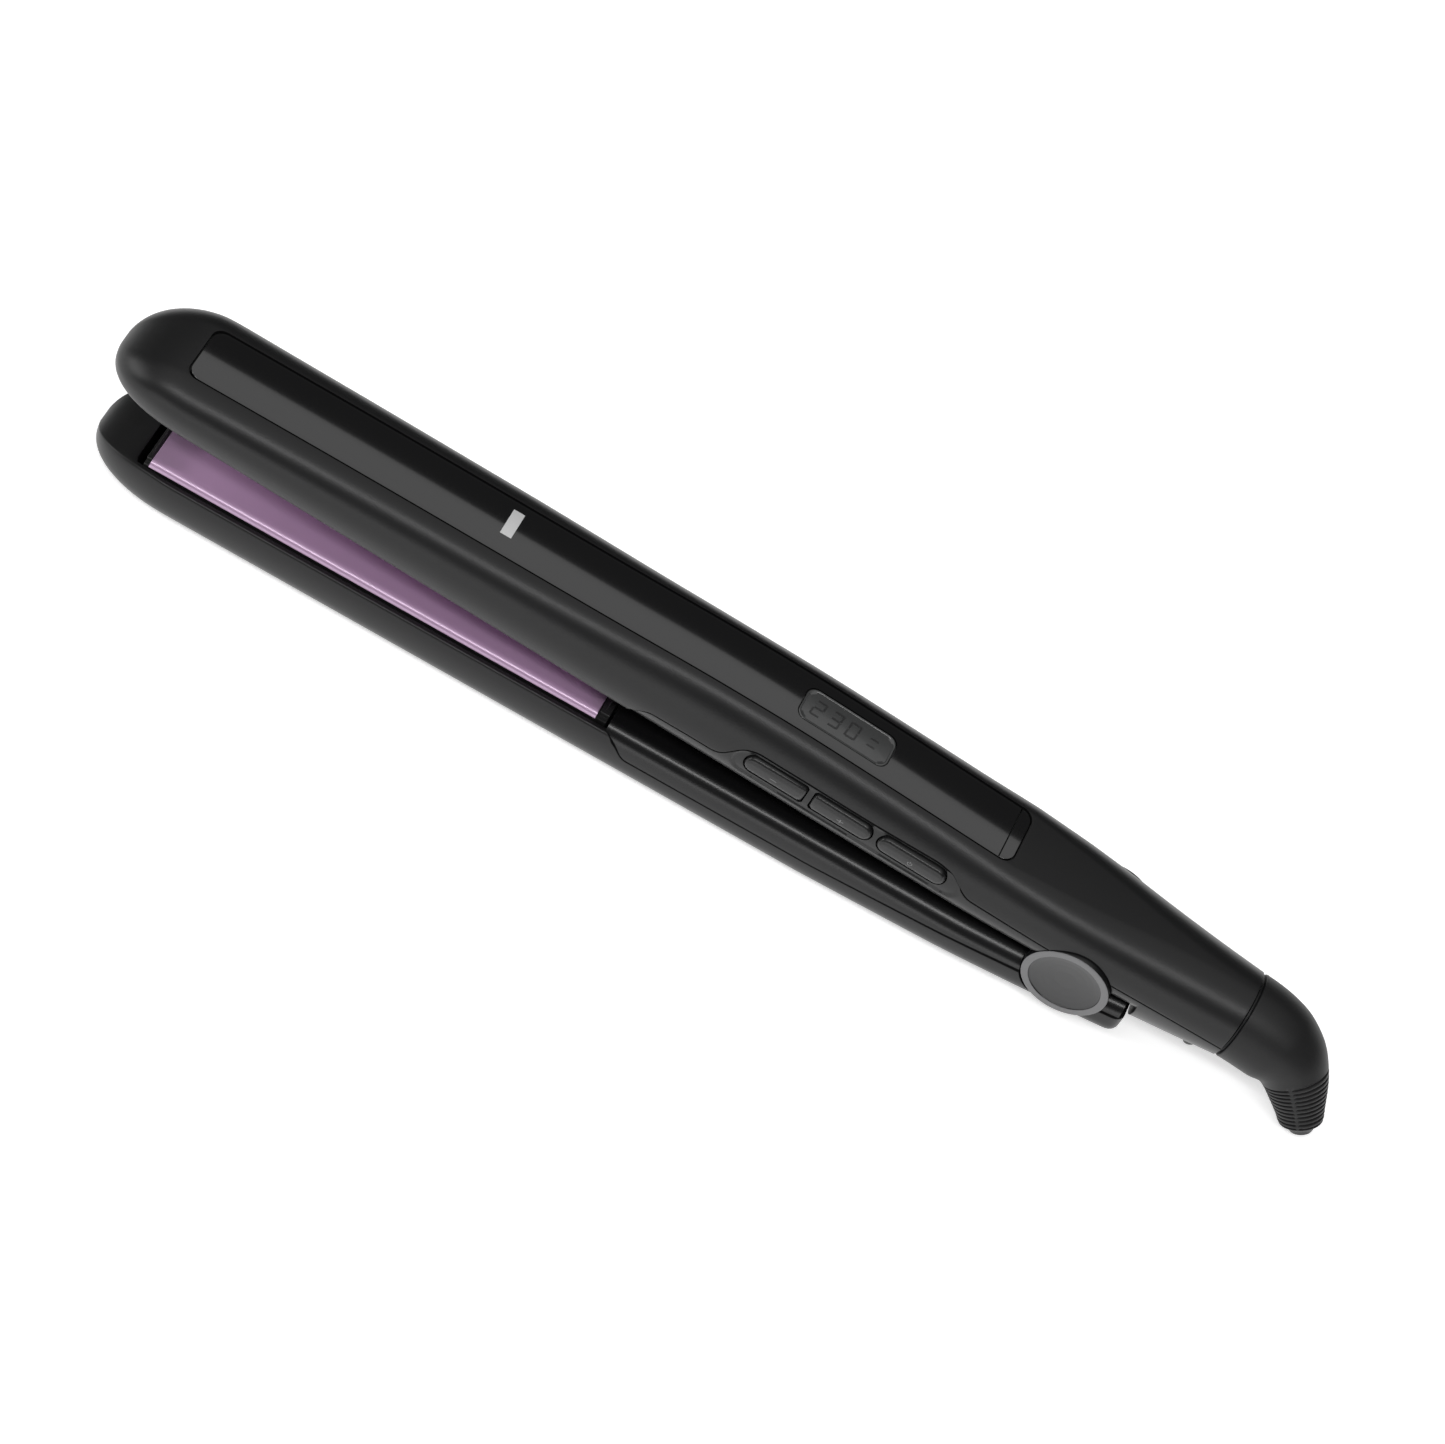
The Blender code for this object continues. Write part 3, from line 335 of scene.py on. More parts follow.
# ---------------------------------------------------------------- meshes
def to_world(frame_name, p):
    """Arm coordinates to the row frame, in metres, at rest."""
    x, y, d = p
    if frame_name == "low":
        return ((x + X_SHIFT) * 0.001, (y + Y_SHIFT) * 0.001, (ARM_T - d) * 0.001)
    z = d - HINGE_D
    c, s = math.cos(math.radians(OPEN_DEG)), math.sin(math.radians(OPEN_DEG))
    return ((x * c + z * s + X_SHIFT) * 0.001, (y + Y_SHIFT) * 0.001, (z * c - x * s + ARM_T + HINGE_D) * 0.001)


def mesh_object(name, verts, faces, sharp=35.0):
    bm = bmesh.new()
    made = [bm.verts.new(v) for v in verts]
    for f in faces:
        try:
            bm.faces.new([made[i] for i in f])
        except ValueError:
            pass
    bmesh.ops.recalc_face_normals(bm, faces=bm.faces)
    mesh = bpy.data.meshes.new(name)
    bm.to_mesh(mesh)
    bm.free()
    mesh.shade_smooth()
    mesh.set_sharp_from_angle(angle=math.radians(sharp))
    obj = bpy.data.objects.new(name, mesh)
    bpy.context.scene.collection.objects.link(obj)
    return obj


def ring_faces(rows, closed=False, caps=True):
    """Quads between rings of indices, and end caps."""
    faces = []
    pairs = list(zip(rows, rows[1:]))
    if closed:
        pairs.append((rows[-1], rows[0]))
    for a, b in pairs:
        n = max(len(a), len(b))
        for i in range(n):
            j = (i + 1) % n
            corners = [a[i % len(a)], a[j % len(a)], b[j % len(b)], b[i % len(b)]]
            unique = []
            for v in corners:
                if v not in unique:
                    unique.append(v)
            if len(unique) > 2:
                faces.append(unique)
    if caps and not closed:
        if len(rows[0]) > 2:
            faces.append(list(rows[0]))
        if len(rows[-1]) > 2:
            faces.append(list(rows[-1])[::-1])
    return faces


def loft_v(rings, where, name, sharp=35.0):
    verts, rows = [], []
    for ring in rings:
        rows.append(list(range(len(verts), len(verts) + len(ring))))
        verts += [to_world(where, p) for p in ring]
    return mesh_object(name, verts, ring_faces(rows), sharp)


def turned_v(name, where, axis, centre, profile, sides=96, sharp=35.0):
    verts, rows = [], []
    for along, radius in profile:
        if radius <= 0:
            rows.append([len(verts)])
            verts.append(to_world(where, revolve(axis, centre, along, 0.0, 0.0)))
            continue
        rows.append(list(range(len(verts), len(verts) + sides)))
        verts += [to_world(where, revolve(axis, centre, along, radius, 2 * math.pi * k / sides)) for k in range(sides)]
    hollow = profile[0][1] > 0
    return mesh_object(name, verts, ring_faces(rows, closed=hollow, caps=False), sharp)


def rounded(points, radius, steps=4):
    """A profile of (along, radius) with its inner corners rounded."""
    out = [points[0]]
    for a, b, c in zip(points, points[1:], points[2:]):
        va = Vector((a[0] - b[0], a[1] - b[1]))
        vc = Vector((c[0] - b[0], c[1] - b[1]))
        r = min(radius, va.length * 0.45, vc.length * 0.45)
        if r < 1e-4:
            out.append(b)
            continue
        p0 = Vector(b) + va.normalized() * r
        p1 = Vector(b) + vc.normalized() * r
        for i in range(steps + 1):
            t = i / steps
            q = p0 * (1 - t) ** 2 + Vector(b) * 2 * t * (1 - t) + p1 * t * t
            out.append((q.x, q.y))
    out.append(points[-1])
    return out


def prism(name, where, outline, lo, hi, plane="xy"):
    """A cutter: the outline in x and y between two depths, or in x and d between two y."""
    rings = []
    for v in (lo, hi):
        rings.append([(a, b, v) if plane == "xy" else (a, v, b) for a, b in outline])
    obj = loft_v(rings, where, name)
    obj.hide_render = True
    obj.hide_viewport = False
    return obj


def freeze(obj):
    """Applies the modifiers, and takes the helpers away."""
    graph = bpy.context.evaluated_depsgraph_get()
    mesh = bpy.data.meshes.new_from_object(obj.evaluated_get(graph))
    helpers = {m.object for m in obj.modifiers if m.type == "BOOLEAN"}
    obj.modifiers.clear()
    old = obj.data
    obj.data = mesh
    mesh.name = obj.name
    bpy.data.meshes.remove(old)
    return helpers


def cut(obj, *cutters, sharp=35.0, operation="DIFFERENCE"):
    for c in cutters:
        mod = obj.modifiers.new("cut", "BOOLEAN")
        mod.operation = operation
        mod.solver = "EXACT"
        mod.object = c
    helpers = freeze(obj)
    for h in helpers:
        bpy.data.objects.remove(h, do_unlink=True)
    obj.data.shade_smooth()
    obj.data.set_sharp_from_angle(angle=math.radians(sharp))
    return obj


def soften(obj, width, segments=3, angle=38.0):
    """Rounds the sharp edges of a clean mesh."""
    mod = obj.modifiers.new("soft", "BEVEL")
    mod.width = width * 0.001
    mod.segments = segments
    mod.limit_method = "ANGLE"
    mod.angle_limit = math.radians(angle)
    mod.use_clamp_overlap = True
    mod.miter_outer = "MITER_ARC"
    freeze(obj)
    obj.data.shade_smooth()
    obj.data.set_sharp_from_angle(angle=math.radians(50))
    return obj


def join(name, *objs):
    """Makes one object of several."""
    bm = bmesh.new()
    for o in objs:
        mesh = o.data.copy()
        mesh.transform(o.matrix_world)
        bm.from_mesh(mesh)
        bpy.data.meshes.remove(mesh)
    mesh = bpy.data.meshes.new(name)
    bm.to_mesh(mesh)
    bm.free()
    for o in objs:
        bpy.data.objects.remove(o, do_unlink=True)
    mesh.shade_smooth()
    mesh.set_sharp_from_angle(angle=math.radians(35))
    obj = bpy.data.objects.new(name, mesh)
    bpy.context.scene.collection.objects.link(obj)
    return obj


# ---------------------------------------------------------------- materials
def links_of(mat):
    tree = mat.node_tree
    return tree, tree.nodes["Principled BSDF"]


def plastic(name, color, roughness, grain=0.0, grain_size=0.3, coat=0.0, spread=0.0, metallic=0.0, specular=0.5, sheen=0.0):
    """Plastic, rubber or coated metal. grain is the height of a fine moulded texture in millimetres."""
    mat = bpy.data.materials.new(name)
    mat.use_nodes = True
    tree, shader = links_of(mat)
    shader.inputs["Base Color"].default_value = (*color, 1.0)
    shader.inputs["Roughness"].default_value = roughness
    shader.inputs["Metallic"].default_value = metallic
    shader.inputs["Specular IOR Level"].default_value = specular
    shader.inputs["Coat Weight"].default_value = coat
    shader.inputs["Coat Roughness"].default_value = 0.08
    shader.inputs["Sheen Weight"].default_value = sheen
    if grain or spread:
        place = tree.nodes.new("ShaderNodeTexCoord")
    if grain:
        noise = tree.nodes.new("ShaderNodeTexNoise")
        noise.inputs["Scale"].default_value = 1000.0 / grain_size
        noise.inputs["Detail"].default_value = 2.0
        bump = tree.nodes.new("ShaderNodeBump")
        bump.inputs["Strength"].default_value = 0.6
        bump.inputs["Distance"].default_value = grain * 0.001
        tree.links.new(place.outputs["Object"], noise.inputs["Vector"])
        tree.links.new(noise.outputs["Fac"], bump.inputs["Height"])
        tree.links.new(bump.outputs["Normal"], shader.inputs["Normal"])
    if spread:
        wide = tree.nodes.new("ShaderNodeTexNoise")
        wide.inputs["Scale"].default_value = 35.0
        wide.inputs["Detail"].default_value = 4.0
        ramp = tree.nodes.new("ShaderNodeMapRange")
        ramp.inputs["To Min"].default_value = roughness - spread
        ramp.inputs["To Max"].default_value = roughness + spread
        tree.links.new(place.outputs["Object"], wide.inputs["Vector"])
        tree.links.new(wide.outputs["Fac"], ramp.inputs["Value"])
        tree.links.new(ramp.outputs["Result"], shader.inputs["Roughness"])
    return mat


def paint(obj, mat):
    obj.data.materials.clear()
    obj.data.materials.append(mat)
    return obj


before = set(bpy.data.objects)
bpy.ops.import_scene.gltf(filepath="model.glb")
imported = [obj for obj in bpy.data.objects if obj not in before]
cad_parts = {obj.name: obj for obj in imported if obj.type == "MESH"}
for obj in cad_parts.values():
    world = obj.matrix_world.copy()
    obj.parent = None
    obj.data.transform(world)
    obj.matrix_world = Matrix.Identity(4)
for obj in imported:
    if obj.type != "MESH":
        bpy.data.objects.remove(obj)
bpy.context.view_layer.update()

BLACK = plastic("soft_black", (0.0075, 0.0075, 0.0078), 0.35, grain=0.02, grain_size=0.34, spread=0.03, specular=0.34)
SATIN = plastic("satin_black", (0.008, 0.008, 0.0083), 0.30, grain=0.012, grain_size=0.3, spread=0.02, specular=0.42)
INNER = plastic("inner_black", (0.006, 0.006, 0.0063), 0.24, grain=0.006, grain_size=0.5, spread=0.02, specular=0.42)
GLOSS = plastic("gloss_black", (0.004, 0.004, 0.0043), 0.05, coat=1.0, spread=0.01, specular=0.5)
RUBBER = plastic("black_rubber", (0.0085, 0.0085, 0.0088), 0.47, grain=0.02, grain_size=0.25, spread=0.04, specular=0.3)
PURPLE = plastic("purple_plate", (0.42, 0.28, 0.42), 0.3, metallic=0.25, spread=0.02, coat=0.4, specular=0.8)
HEAT = plastic("heat_plastic", (0.010, 0.010, 0.010), 0.38, grain=0.01, grain_size=0.4)
CAP = plastic("grey_cap", (0.14, 0.14, 0.143), 0.34, metallic=0.25, grain=0.004, grain_size=0.3, spread=0.02)
STEEL = plastic("steel", (0.55, 0.55, 0.56), 0.28, metallic=1.0, spread=0.04)
DARK_STEEL = plastic("dark_steel", (0.10, 0.10, 0.105), 0.32, metallic=0.9, spread=0.03)
CERAMIC = plastic("ceramic", (0.74, 0.72, 0.67), 0.6)
DISPLAY = plastic("display_grey", (0.045, 0.046, 0.046), 0.16, coat=0.5)
SEGMENT = plastic("display_segment", (0.012, 0.012, 0.0125), 0.3, coat=0.2)
PCB = plastic("circuit_green", (0.03, 0.15, 0.06), 0.5)
ICON = plastic("icon_grey", (0.12, 0.12, 0.122), 0.4)
METAL_BAR = plastic("bar_metal", (0.78, 0.78, 0.78), 0.3, metallic=0.5)

for node_name, mat in {
    "hinge_pin": STEEL, "hinge_washer_left": STEEL, "hinge_washer_right": STEEL, "hinge_spring": STEEL,
    "lower_heater": CERAMIC, "upper_heater": CERAMIC, "thermistor": CERAMIC,
    "lower_heater_clip": STEEL, "upper_heater_clip": STEEL, "lower_float_spring_front": STEEL, "lower_float_spring_rear": STEEL,
    "upper_float_spring_front": STEEL, "upper_float_spring_rear": STEEL, "thermal_fuse": STEEL,
    "display_module": DISPLAY, "control_board": PCB, "power_board": PCB,
    "switch_minus": HEAT, "switch_plus": HEAT, "switch_power": HEAT, "swivel_core": HEAT, "swivel_washer": STEEL,
    "lock_detent_spring": STEEL,
}.items():
    paint(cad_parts[node_name], mat)


def stands_for(obj, mat, body, slot_name, *nodes):
    paint(obj, mat)
    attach(obj, body)
    if nodes:
        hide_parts(*nodes)
    return obj


# ---------------------------------------------------------------- covers
SIDE = 30


def eased_angles(start, end, count):
    return [start + (end - start) * i / (count - 1) for i in range(count)]


def cover_ring_v(arm, x, seam, hollow, top_wall):
    start = -90.0 if x <= -112.5 else arm.angle_of(x, seam(x) + SEAM_V)
    if x > -112.5 and x < -110.0:
        t = (x + 112.5) / 2.5
        start = -90.0 + (start + 90.0) * min(1.0, t)
    angles = eased_angles(start, 90.0, SIDE)
    outer = [arm.point(x, phi) for phi in angles]
    if hollow:
        inner = [arm.point(x, phi, WALL, top_wall, (0.75, 0.0)) for phi in angles]
        if start > -89:
            inner[0] = (min(inner[0][0], outer[0][0] - 0.9), outer[0][1])
        right = inner
        left = [(-y, d) for y, d in inner]
    else:
        y0, d0 = outer[0]
        ys = spread(0.92 * y0, 0.02 * y0, SIDE)
        right = [(y, d0) for y in ys]
        left = [(-y, d0) for y in ys]
    ring = [(x, y, d) for y, d in outer]
    ring += [(x, -y, d) for y, d in reversed(outer)]
    ring += [(x, y, d) for y, d in left]
    ring += [(x, y, d) for y, d in reversed(right)]
    return ring


def cover_v(name, where, arm, seam, top_wall, xs, tail):
    rings = [cover_ring_v(arm, x, seam, False, WALL) for x in nose_stations(arm, -228.9)]
    rings.append(cover_ring_v(arm, -228.9, seam, False, WALL))
    rings += [cover_ring_v(arm, x, seam, True, top_wall(x)) for x in xs]
    rings += tail
    return loft_v(rings, where, name)


low_x = merged([-228.3], steps_between(-228, -216, 1.0), steps_between(-216, -114, 3.0), steps_between(-113, -104, 0.35), steps_between(-104, 8, 2.5), [12.2])
heel = []
for x, k in ((12.6, 1.0), (13.2, 0.992), (13.8, 0.975), (14.3, 0.95), (14.7, 0.92), (15.0, 0.885), (HEEL_X, 0.85)):
    ring = cover_ring_v(LOW, 12.6, LOW_SEAM_V, False, WALL)
    heel.append([(x, p[1] * k, 8.6 + (p[2] - 8.6) * (k if p[2] > 8.6 else 1.0)) for p in ring])
axis_low = (0.0, 0.0, -HINGE_D)
axis_up = (0.0, 0.0, HINGE_D)


def wells(where, axis):
    near = turned_v("well", where, "y", axis, [(-20, 0), (-20, CAP_CLEAR_R), (-WELL_Y0, CAP_CLEAR_R), (-WELL_Y0, 0)], 128)
    far = turned_v("well", where, "y", axis, [(WELL_Y0, 0), (WELL_Y0, CAP_CLEAR_R), (20, CAP_CLEAR_R), (20, 0)], 128)
    return near, far


lower_cover = cover_v("lower_cover_skin", "low", LOW, LOW_SEAM_V, lambda x: WALL, low_x, heel)
soften(lower_cover, 0.22)
cut(lower_cover, *wells("low", axis_low))
stands_for(lower_cover, BLACK, "lower_arm", "soft_black", "lower_cover")

up_x = merged([-228.3], steps_between(-228, -216, 1.0), steps_between(-216, -114, 3.0), steps_between(-113, -104, 0.35), steps_between(-104, -92, 2.0), steps_between(-92, -80, 0.35), steps_between(-80, -40, 2.0), steps_between(-40, -20, 0.35), steps_between(-20, 32, 2.0), [33.2])
wall_up = linear_table([(-30, 3.0), (-15, 1.9)])
tail_rings = [cover_ring_v(UP, x, UP_SEAM_V, False, 1.9) for x in (33.6, 34.6, 35.4, TAIL_X)]
upper_cover = cover_v("upper_cover_skin", "up", UP, UP_SEAM_V, wall_up, up_x, tail_rings)
soften(upper_cover, 0.22)


def panel_half(x, front, rear, half, r_front, r_rear, side_cut=0.0):
    """Half width of a strip with rounded ends."""
    h = half
    if x < front + r_front:
        u = max(0.0, min(1.0, (front + r_front - x) / r_front))
        h = half - r_front * 0.82 * (1 - math.sqrt(1 - u * u))
    if x > rear - r_rear:
        u = max(0.0, min(1.0, (x - rear + r_rear) / r_rear))
        h = min(h, half - r_rear * (1 - math.sqrt(1 - u * u)))
    return h


def strip_stations(front, rear, r_front, r_rear, step=2.5):
    ends = [front + r_front * (1 - math.cos(math.pi / 2 * i / 14)) for i in range(15)]
    ends += [rear - r_rear * (1 - math.cos(math.pi / 2 * i / 14)) for i in range(15)] if r_rear > 0.1 else [rear]
    return merged(ends, steps_between(front + r_front, rear - r_rear, step))


def strip_v(name, front, rear, half, r_front, r_rear, top, bottom, edge=0.14, crown=0.0):
    rings = []
    stations = strip_stations(front, rear, r_front, r_rear)
    for i, x in enumerate(stations):
        h = panel_half(x, front, rear, half, r_front, max(r_rear, 0.01))
        t = UP_THICK(x)
        e = edge
        drop = 0.0
        ring = [(x, -h, t - bottom), (x, -h, t - top - e), (x, -h + 0.3 * e, t - top - 0.3 * e)]
        ring += [(x, (h - e) * k, t - top + crown * (1 - ((h - e) * k / half) ** 2)) for k in spread(-1.0, 1.0, 17)]
        ring += [(x, h - 0.3 * e, t - top - 0.3 * e), (x, h, t - top - e), (x, h, t - bottom)]
        rings.append(ring)
    return loft_v(rings, "up", name, 40)


R_FRONT = 2.9
CROWN = 0.2
recess = strip_v("recess", PANEL_X0 - 0.45, -24.1, PANEL_HALF + 0.42, R_FRONT, 3.0, -6.0, 1.5, 0.0001)
opening = prism("opening", "up", [(-81.5, -5.2), (-56.0, -5.2), (-56.0, 5.2), (-81.5, 5.2)], 8.0, 25.0)
neck = turned_v("neck", "up", "x", (0.0, 0.0, TAIL_AXIS_D), [(31.0, 0), (31.0, 7.0), (40.0, 7.0), (40.0, 0)], 64)
cut(upper_cover, recess, opening, neck, *wells("up", axis_up))
stands_for(upper_cover, BLACK, "upper_arm", "soft_black", "upper_cover")


# ---------------------------------------------------------------- inner frames
def button_dent(x, d):
    """How far the land round the buttons is sunk at x and d."""
    cx0, cx1, cd, half = -83.4, -33.4, 8.9, 3.25
    px = max(cx0 - x, 0.0, x - cx1)
    dist = math.hypot(px, d - cd)
    t = (half - dist) / 0.5
    t = max(0.0, min(1.0, t))
    return 0.42 * t * t * (3 - 2 * t)


def frame_ring_v(arm, x, seam, wall, inner_flat_d=None, dent=False, fillet=0.35):
    end = arm.angle_of(x, seam(x) - SEAM_V)
    count = 36
    angles = eased_angles(-90.0, end, count)
    outer = [arm.point(x, phi) for phi in angles]
    inner = [arm.point(x, phi, WALL, 2.0, (0.6, wall)) for phi in angles]
    if inner_flat_d is not None:
        inner = [(y, max(d, inner_flat_d)) for y, d in inner]
    inner = [(min(y, oy - 0.6) if k else y, d) for k, ((y, d), (oy, od)) in enumerate(zip(inner, outer))]
    inner = [(max(y, 0.15), d) for y, d in inner]
    last = count - 1
    top = outer[-1][1]
    inner = [(y, min(d, top - 0.04 * (last - k))) for k, (y, d) in enumerate(inner)]
    inner[-1] = (inner[-1][0], top)
    near = [(y - button_dent(x, d), d) for y, d in outer] if dent else outer
    ring = [(x, y, d) for y, d in outer]
    ring += [(x, y, d) for y, d in reversed(inner)]
    ring += [(x, -y, d) for y, d in inner]
    ring += [(x, -y, d) for y, d in reversed(near)]
    return ring


lin_x = merged(steps_between(-112.2, -105, 0.35), steps_between(-105, 13.4, 2.5), [14.2])
front_wall = linear_table([(-112.2, 1.1), (-108, 1.5)])
lower_frame = loft_v([frame_ring_v(LOW_IN, x, LOW_SEAM_V, front_wall(x)) for x in lin_x], "low", "lower_frame_skin")
soften(lower_frame, 0.25)
knuckle = turned_v("knuckle", "low", "y", axis_low, [(-KNUCKLE_HALF, 0), (-KNUCKLE_HALF, KNUCKLE_R), (KNUCKLE_HALF, KNUCKLE_R), (KNUCKLE_HALF, 0)], 64)
cut(lower_frame, knuckle, operation="UNION")
bore = turned_v("bore", "low", "y", axis_low, [(-20, 0), (-20, HINGE_BORE_R), (20, HINGE_BORE_R), (20, 0)], 48)
chamber = turned_v("chamber", "low", "y", axis_low, [(2.3, 0), (2.3, 4.5), (7.2, 4.5), (7.2, 0)], 48)
pockets = [prism("pocket", "low", [(-7.0, a), (7.0, a), (7.0, b), (-7.0, b)], -2.0, 7.0) for a, b in ((-10.8, -7.1), (7.1, 10.8))]


def seats(where):
    return [turned_v("seat", where, "d", (x, 0.0, 0.0), [(-5.6, 0), (-5.6, 2.5), (1.8, 2.5), (1.8, 1.4), (12.9, 1.4), (12.9, 0)], 48) for x in (-101.5, -24.0)]


cut(lower_frame, bore, chamber, *pockets, *wells("low", axis_low), *seats("low"))
stands_for(lower_frame, INNER, "lower_arm", "satin_black", "lower_inner_frame")

uin_x = merged(steps_between(-112.2, -104, 0.35), steps_between(-104, -92, 2.0), steps_between(-92, -28, 0.35), steps_between(-28, -18, 0.7), steps_between(-18, 14, 2.5), [15.7, 16.1, 17.4, 17.9], steps_between(20, 33.2, 2.2))
rings = []
for x in uin_x:
    flat = 2.6 if 15.9 < x < 17.6 else None
    rings.append(frame_ring_v(UP_IN, x, UP_SEAM_V, front_wall(x), flat, True))
for x in (33.6, 34.6, 35.4, TAIL_X):
    ring = frame_ring_v(UP_IN, x, UP_SEAM_V, 1.5)
    top = max(p[2] for p in ring)
    half = len(ring) // 4
    solid = []
    for k, p in enumerate(ring):
        if k < half or k >= 3 * half:
            solid.append(p)
        elif k < 2 * half:
            i = k - half
            solid.append((x, ring[half - 1][1] * (0.9 - 0.85 * i / (half - 1)), top))
        else:
            i = k - 2 * half
            solid.append((x, -ring[half - 1][1] * (0.05 + 0.85 * i / (half - 1)), top))
    rings.append(solid)
upper_frame = loft_v(rings, "up", "upper_frame_skin")
soften(upper_frame, 0.22)
cheeks = []
for sign in (-1, 1):
    y0, y1 = sorted((sign * CHEEK_Y0, sign * CHEEK_Y1))
    cheeks.append(turned_v("cheek", "up", "y", axis_up, [(y0, 0), (y0, CHEEK_R), (y1, CHEEK_R), (y1, 0)], 64))
cut(upper_frame, *cheeks, operation="UNION")
gap = prism("gap", "up", [(-8.2, -8.15), (8.2, -8.15), (8.2, 8.15), (-8.2, 8.15)], -8.0, 12.0)
bore_up = turned_v("bore", "up", "y", axis_up, [(-20, 0), (-20, HINGE_BORE_R), (20, HINGE_BORE_R), (20, 0)], 48)
holes = []
for name, x0, x1, round0, round1 in BUTTONS:
    holes.append(prism("hole", "up", stadium(x0 - 0.28, x1 + 0.28, BUTTON_D, BUTTON_HALF_H + 0.28, round0, round1, 12), -20.0, -10.0, "xd"))
slot = prism("slot", "up", [(18.6, -2.7), (26.4, -2.7), (26.4, 2.7), (18.6, 2.7)], -14.0, 1.0)
neck = turned_v("neck", "up", "x", (0.0, 0.0, TAIL_AXIS_D), [(31.0, 0), (31.0, 7.0), (40.0, 7.0), (40.0, 0)], 64)
cut(upper_frame, gap, bore_up, *holes, slot, neck, *wells("up", axis_up), *seats("up"))
stands_for(upper_frame, SATIN, "upper_arm", "satin_black", "upper_inner_frame")

# ---------------------------------------------------------------- glossy strip, window and digits
panel = strip_v("top_strip", PANEL_X0, PANEL_X1, PANEL_HALF, R_FRONT, 0.0, 0.12, 0.05 + PANEL_THICK, 0.14, CROWN)


def round_box(x0, x1, y0, y1, r, steps=8):
    out = []
    for cx, cy, a0 in ((x1 - r, y1 - r, 0), (x0 + r, y1 - r, 90), (x0 + r, y0 + r, 180), (x1 - r, y0 + r, 270)):
        out += [(cx + r * math.cos(math.radians(a0 + 90 * i / steps)), cy + r * math.sin(math.radians(a0 + 90 * i / steps))) for i in range(steps + 1)]
    return out


hole = prism("hole", "up", round_box(WINDOW_X0 - 0.25, WINDOW_X1 + 0.25, -WINDOW_HALF - 0.25, WINDOW_HALF + 0.25, 2.4), 8.0, 25.0)
cut(panel, hole)
stands_for(panel, GLOSS, "upper_arm", "gloss_black", "top_panel")


window_rings = []
n_r = 5
outline = round_box(WINDOW_X0, WINDOW_X1, -WINDOW_HALF, WINDOW_HALF, 2.2, 10)
cx, cy = (WINDOW_X0 + WINDOW_X1) / 2, 0.0


def inset(points, by):
    out = []
    for x, y in points:
        sx = (x - cx) * (1 - by / ((WINDOW_X1 - WINDOW_X0) / 2))
        sy = (y - cy) * (1 - by / WINDOW_HALF)
        out.append((cx + sx, cy + sy))
    return out




def crowned(x, y, drop):
    return UP_THICK(x) - 0.12 + CROWN * (1 - (y / PANEL_HALF) ** 2) - drop


for by, drop in ((0.0, 1.1), (0.0, 0.1), (0.06, 0.03), (0.28, 0.03), (0.4, 0.08), (0.5, 0.2), (0.9, 0.2), (1.6, 0.2), (2.3, 0.2), (3.0, 0.2), (3.7, 0.2)):
    window_rings.append([(x, y, crowned(x, y, drop)) for x, y in inset(outline, by)])
window = loft_v(window_rings, "up", "window_glass", 45)
stands_for(window, DISPLAY, "upper_arm", "display_grey", "display_window")

SEGMENTS = {"2": "abged", "3": "abgcd", "0": "abcdef"}


def segment_boxes(char, x0, y0, w, h, t):
    g = 0.14
    mid = y0 + h / 2
    places = {
        "a": (x0 + t * 0.5 + g, x0 + w - t * 0.5 - g, y0 + h - t, y0 + h),
        "d": (x0 + t * 0.5 + g, x0 + w - t * 0.5 - g, y0, y0 + t),
        "g": (x0 + t * 0.5 + g, x0 + w - t * 0.5 - g, mid - t / 2, mid + t / 2),
        "b": (x0 + w - t, x0 + w, mid + g, y0 + h - g),
        "c": (x0 + w - t, x0 + w, y0 + g, mid - g),
        "f": (x0, x0 + t, mid + g, y0 + h - g),
        "e": (x0, x0 + t, y0 + g, mid - g),
    }
    return [places[s] for s in SEGMENTS[char]]


digit_parts = []


def flat_piece(x0, x1, y0, y1, lift=0.28, slant=0.12):
    rings = []
    for drop in (0.24, 0.17):
        rings.append([(x + (y + 2.0) * slant, y, crowned(x, y, drop)) for x, y in ((x0, y0), (x1, y0), (x1, y1), (x0, y1))])
    return loft_v(rings, "up", "digit")


for i, char in enumerate("230"):
    for b in segment_boxes(char, -77.6 + i * 4.35, -2.15, 2.75, 4.3, 0.46):
        digit_parts.append(flat_piece(*b))
for y in (-1.0, 1.0):
    digit_parts.append(flat_piece(-63.6, -61.6, y - 0.22, y + 0.22))
digits = join("display_digits", *digit_parts)
stands_for(digits, SEGMENT, "upper_arm", "display_grey")

insert = strip_v("strip_end", PANEL_X1 + 0.3, -24.5, PANEL_HALF, 0.01, 2.6, 0.12, 1.15, 0.14, CROWN)
stands_for(insert, GLOSS, "upper_arm", "gloss_black", "panel_end_insert")

# a plain metal bar let into the strip
bar_rings = []
for x in spread(BAR_X0, BAR_X1, 5):
    drop = 0.0 if BAR_X0 < x < BAR_X1 else 0.03
    ys = spread(BAR_Y0, BAR_Y1, 9)
    ring = [(x, y, crowned(x, y, 0.1)) for y in ys]
    ring += [(x, y, crowned(x, y, drop - 0.05)) for y in reversed(ys)]
    bar_rings.append(ring)
bar = loft_v(bar_rings, "up", "strip_bar", 45)
stands_for(bar, METAL_BAR, "upper_arm", "steel")


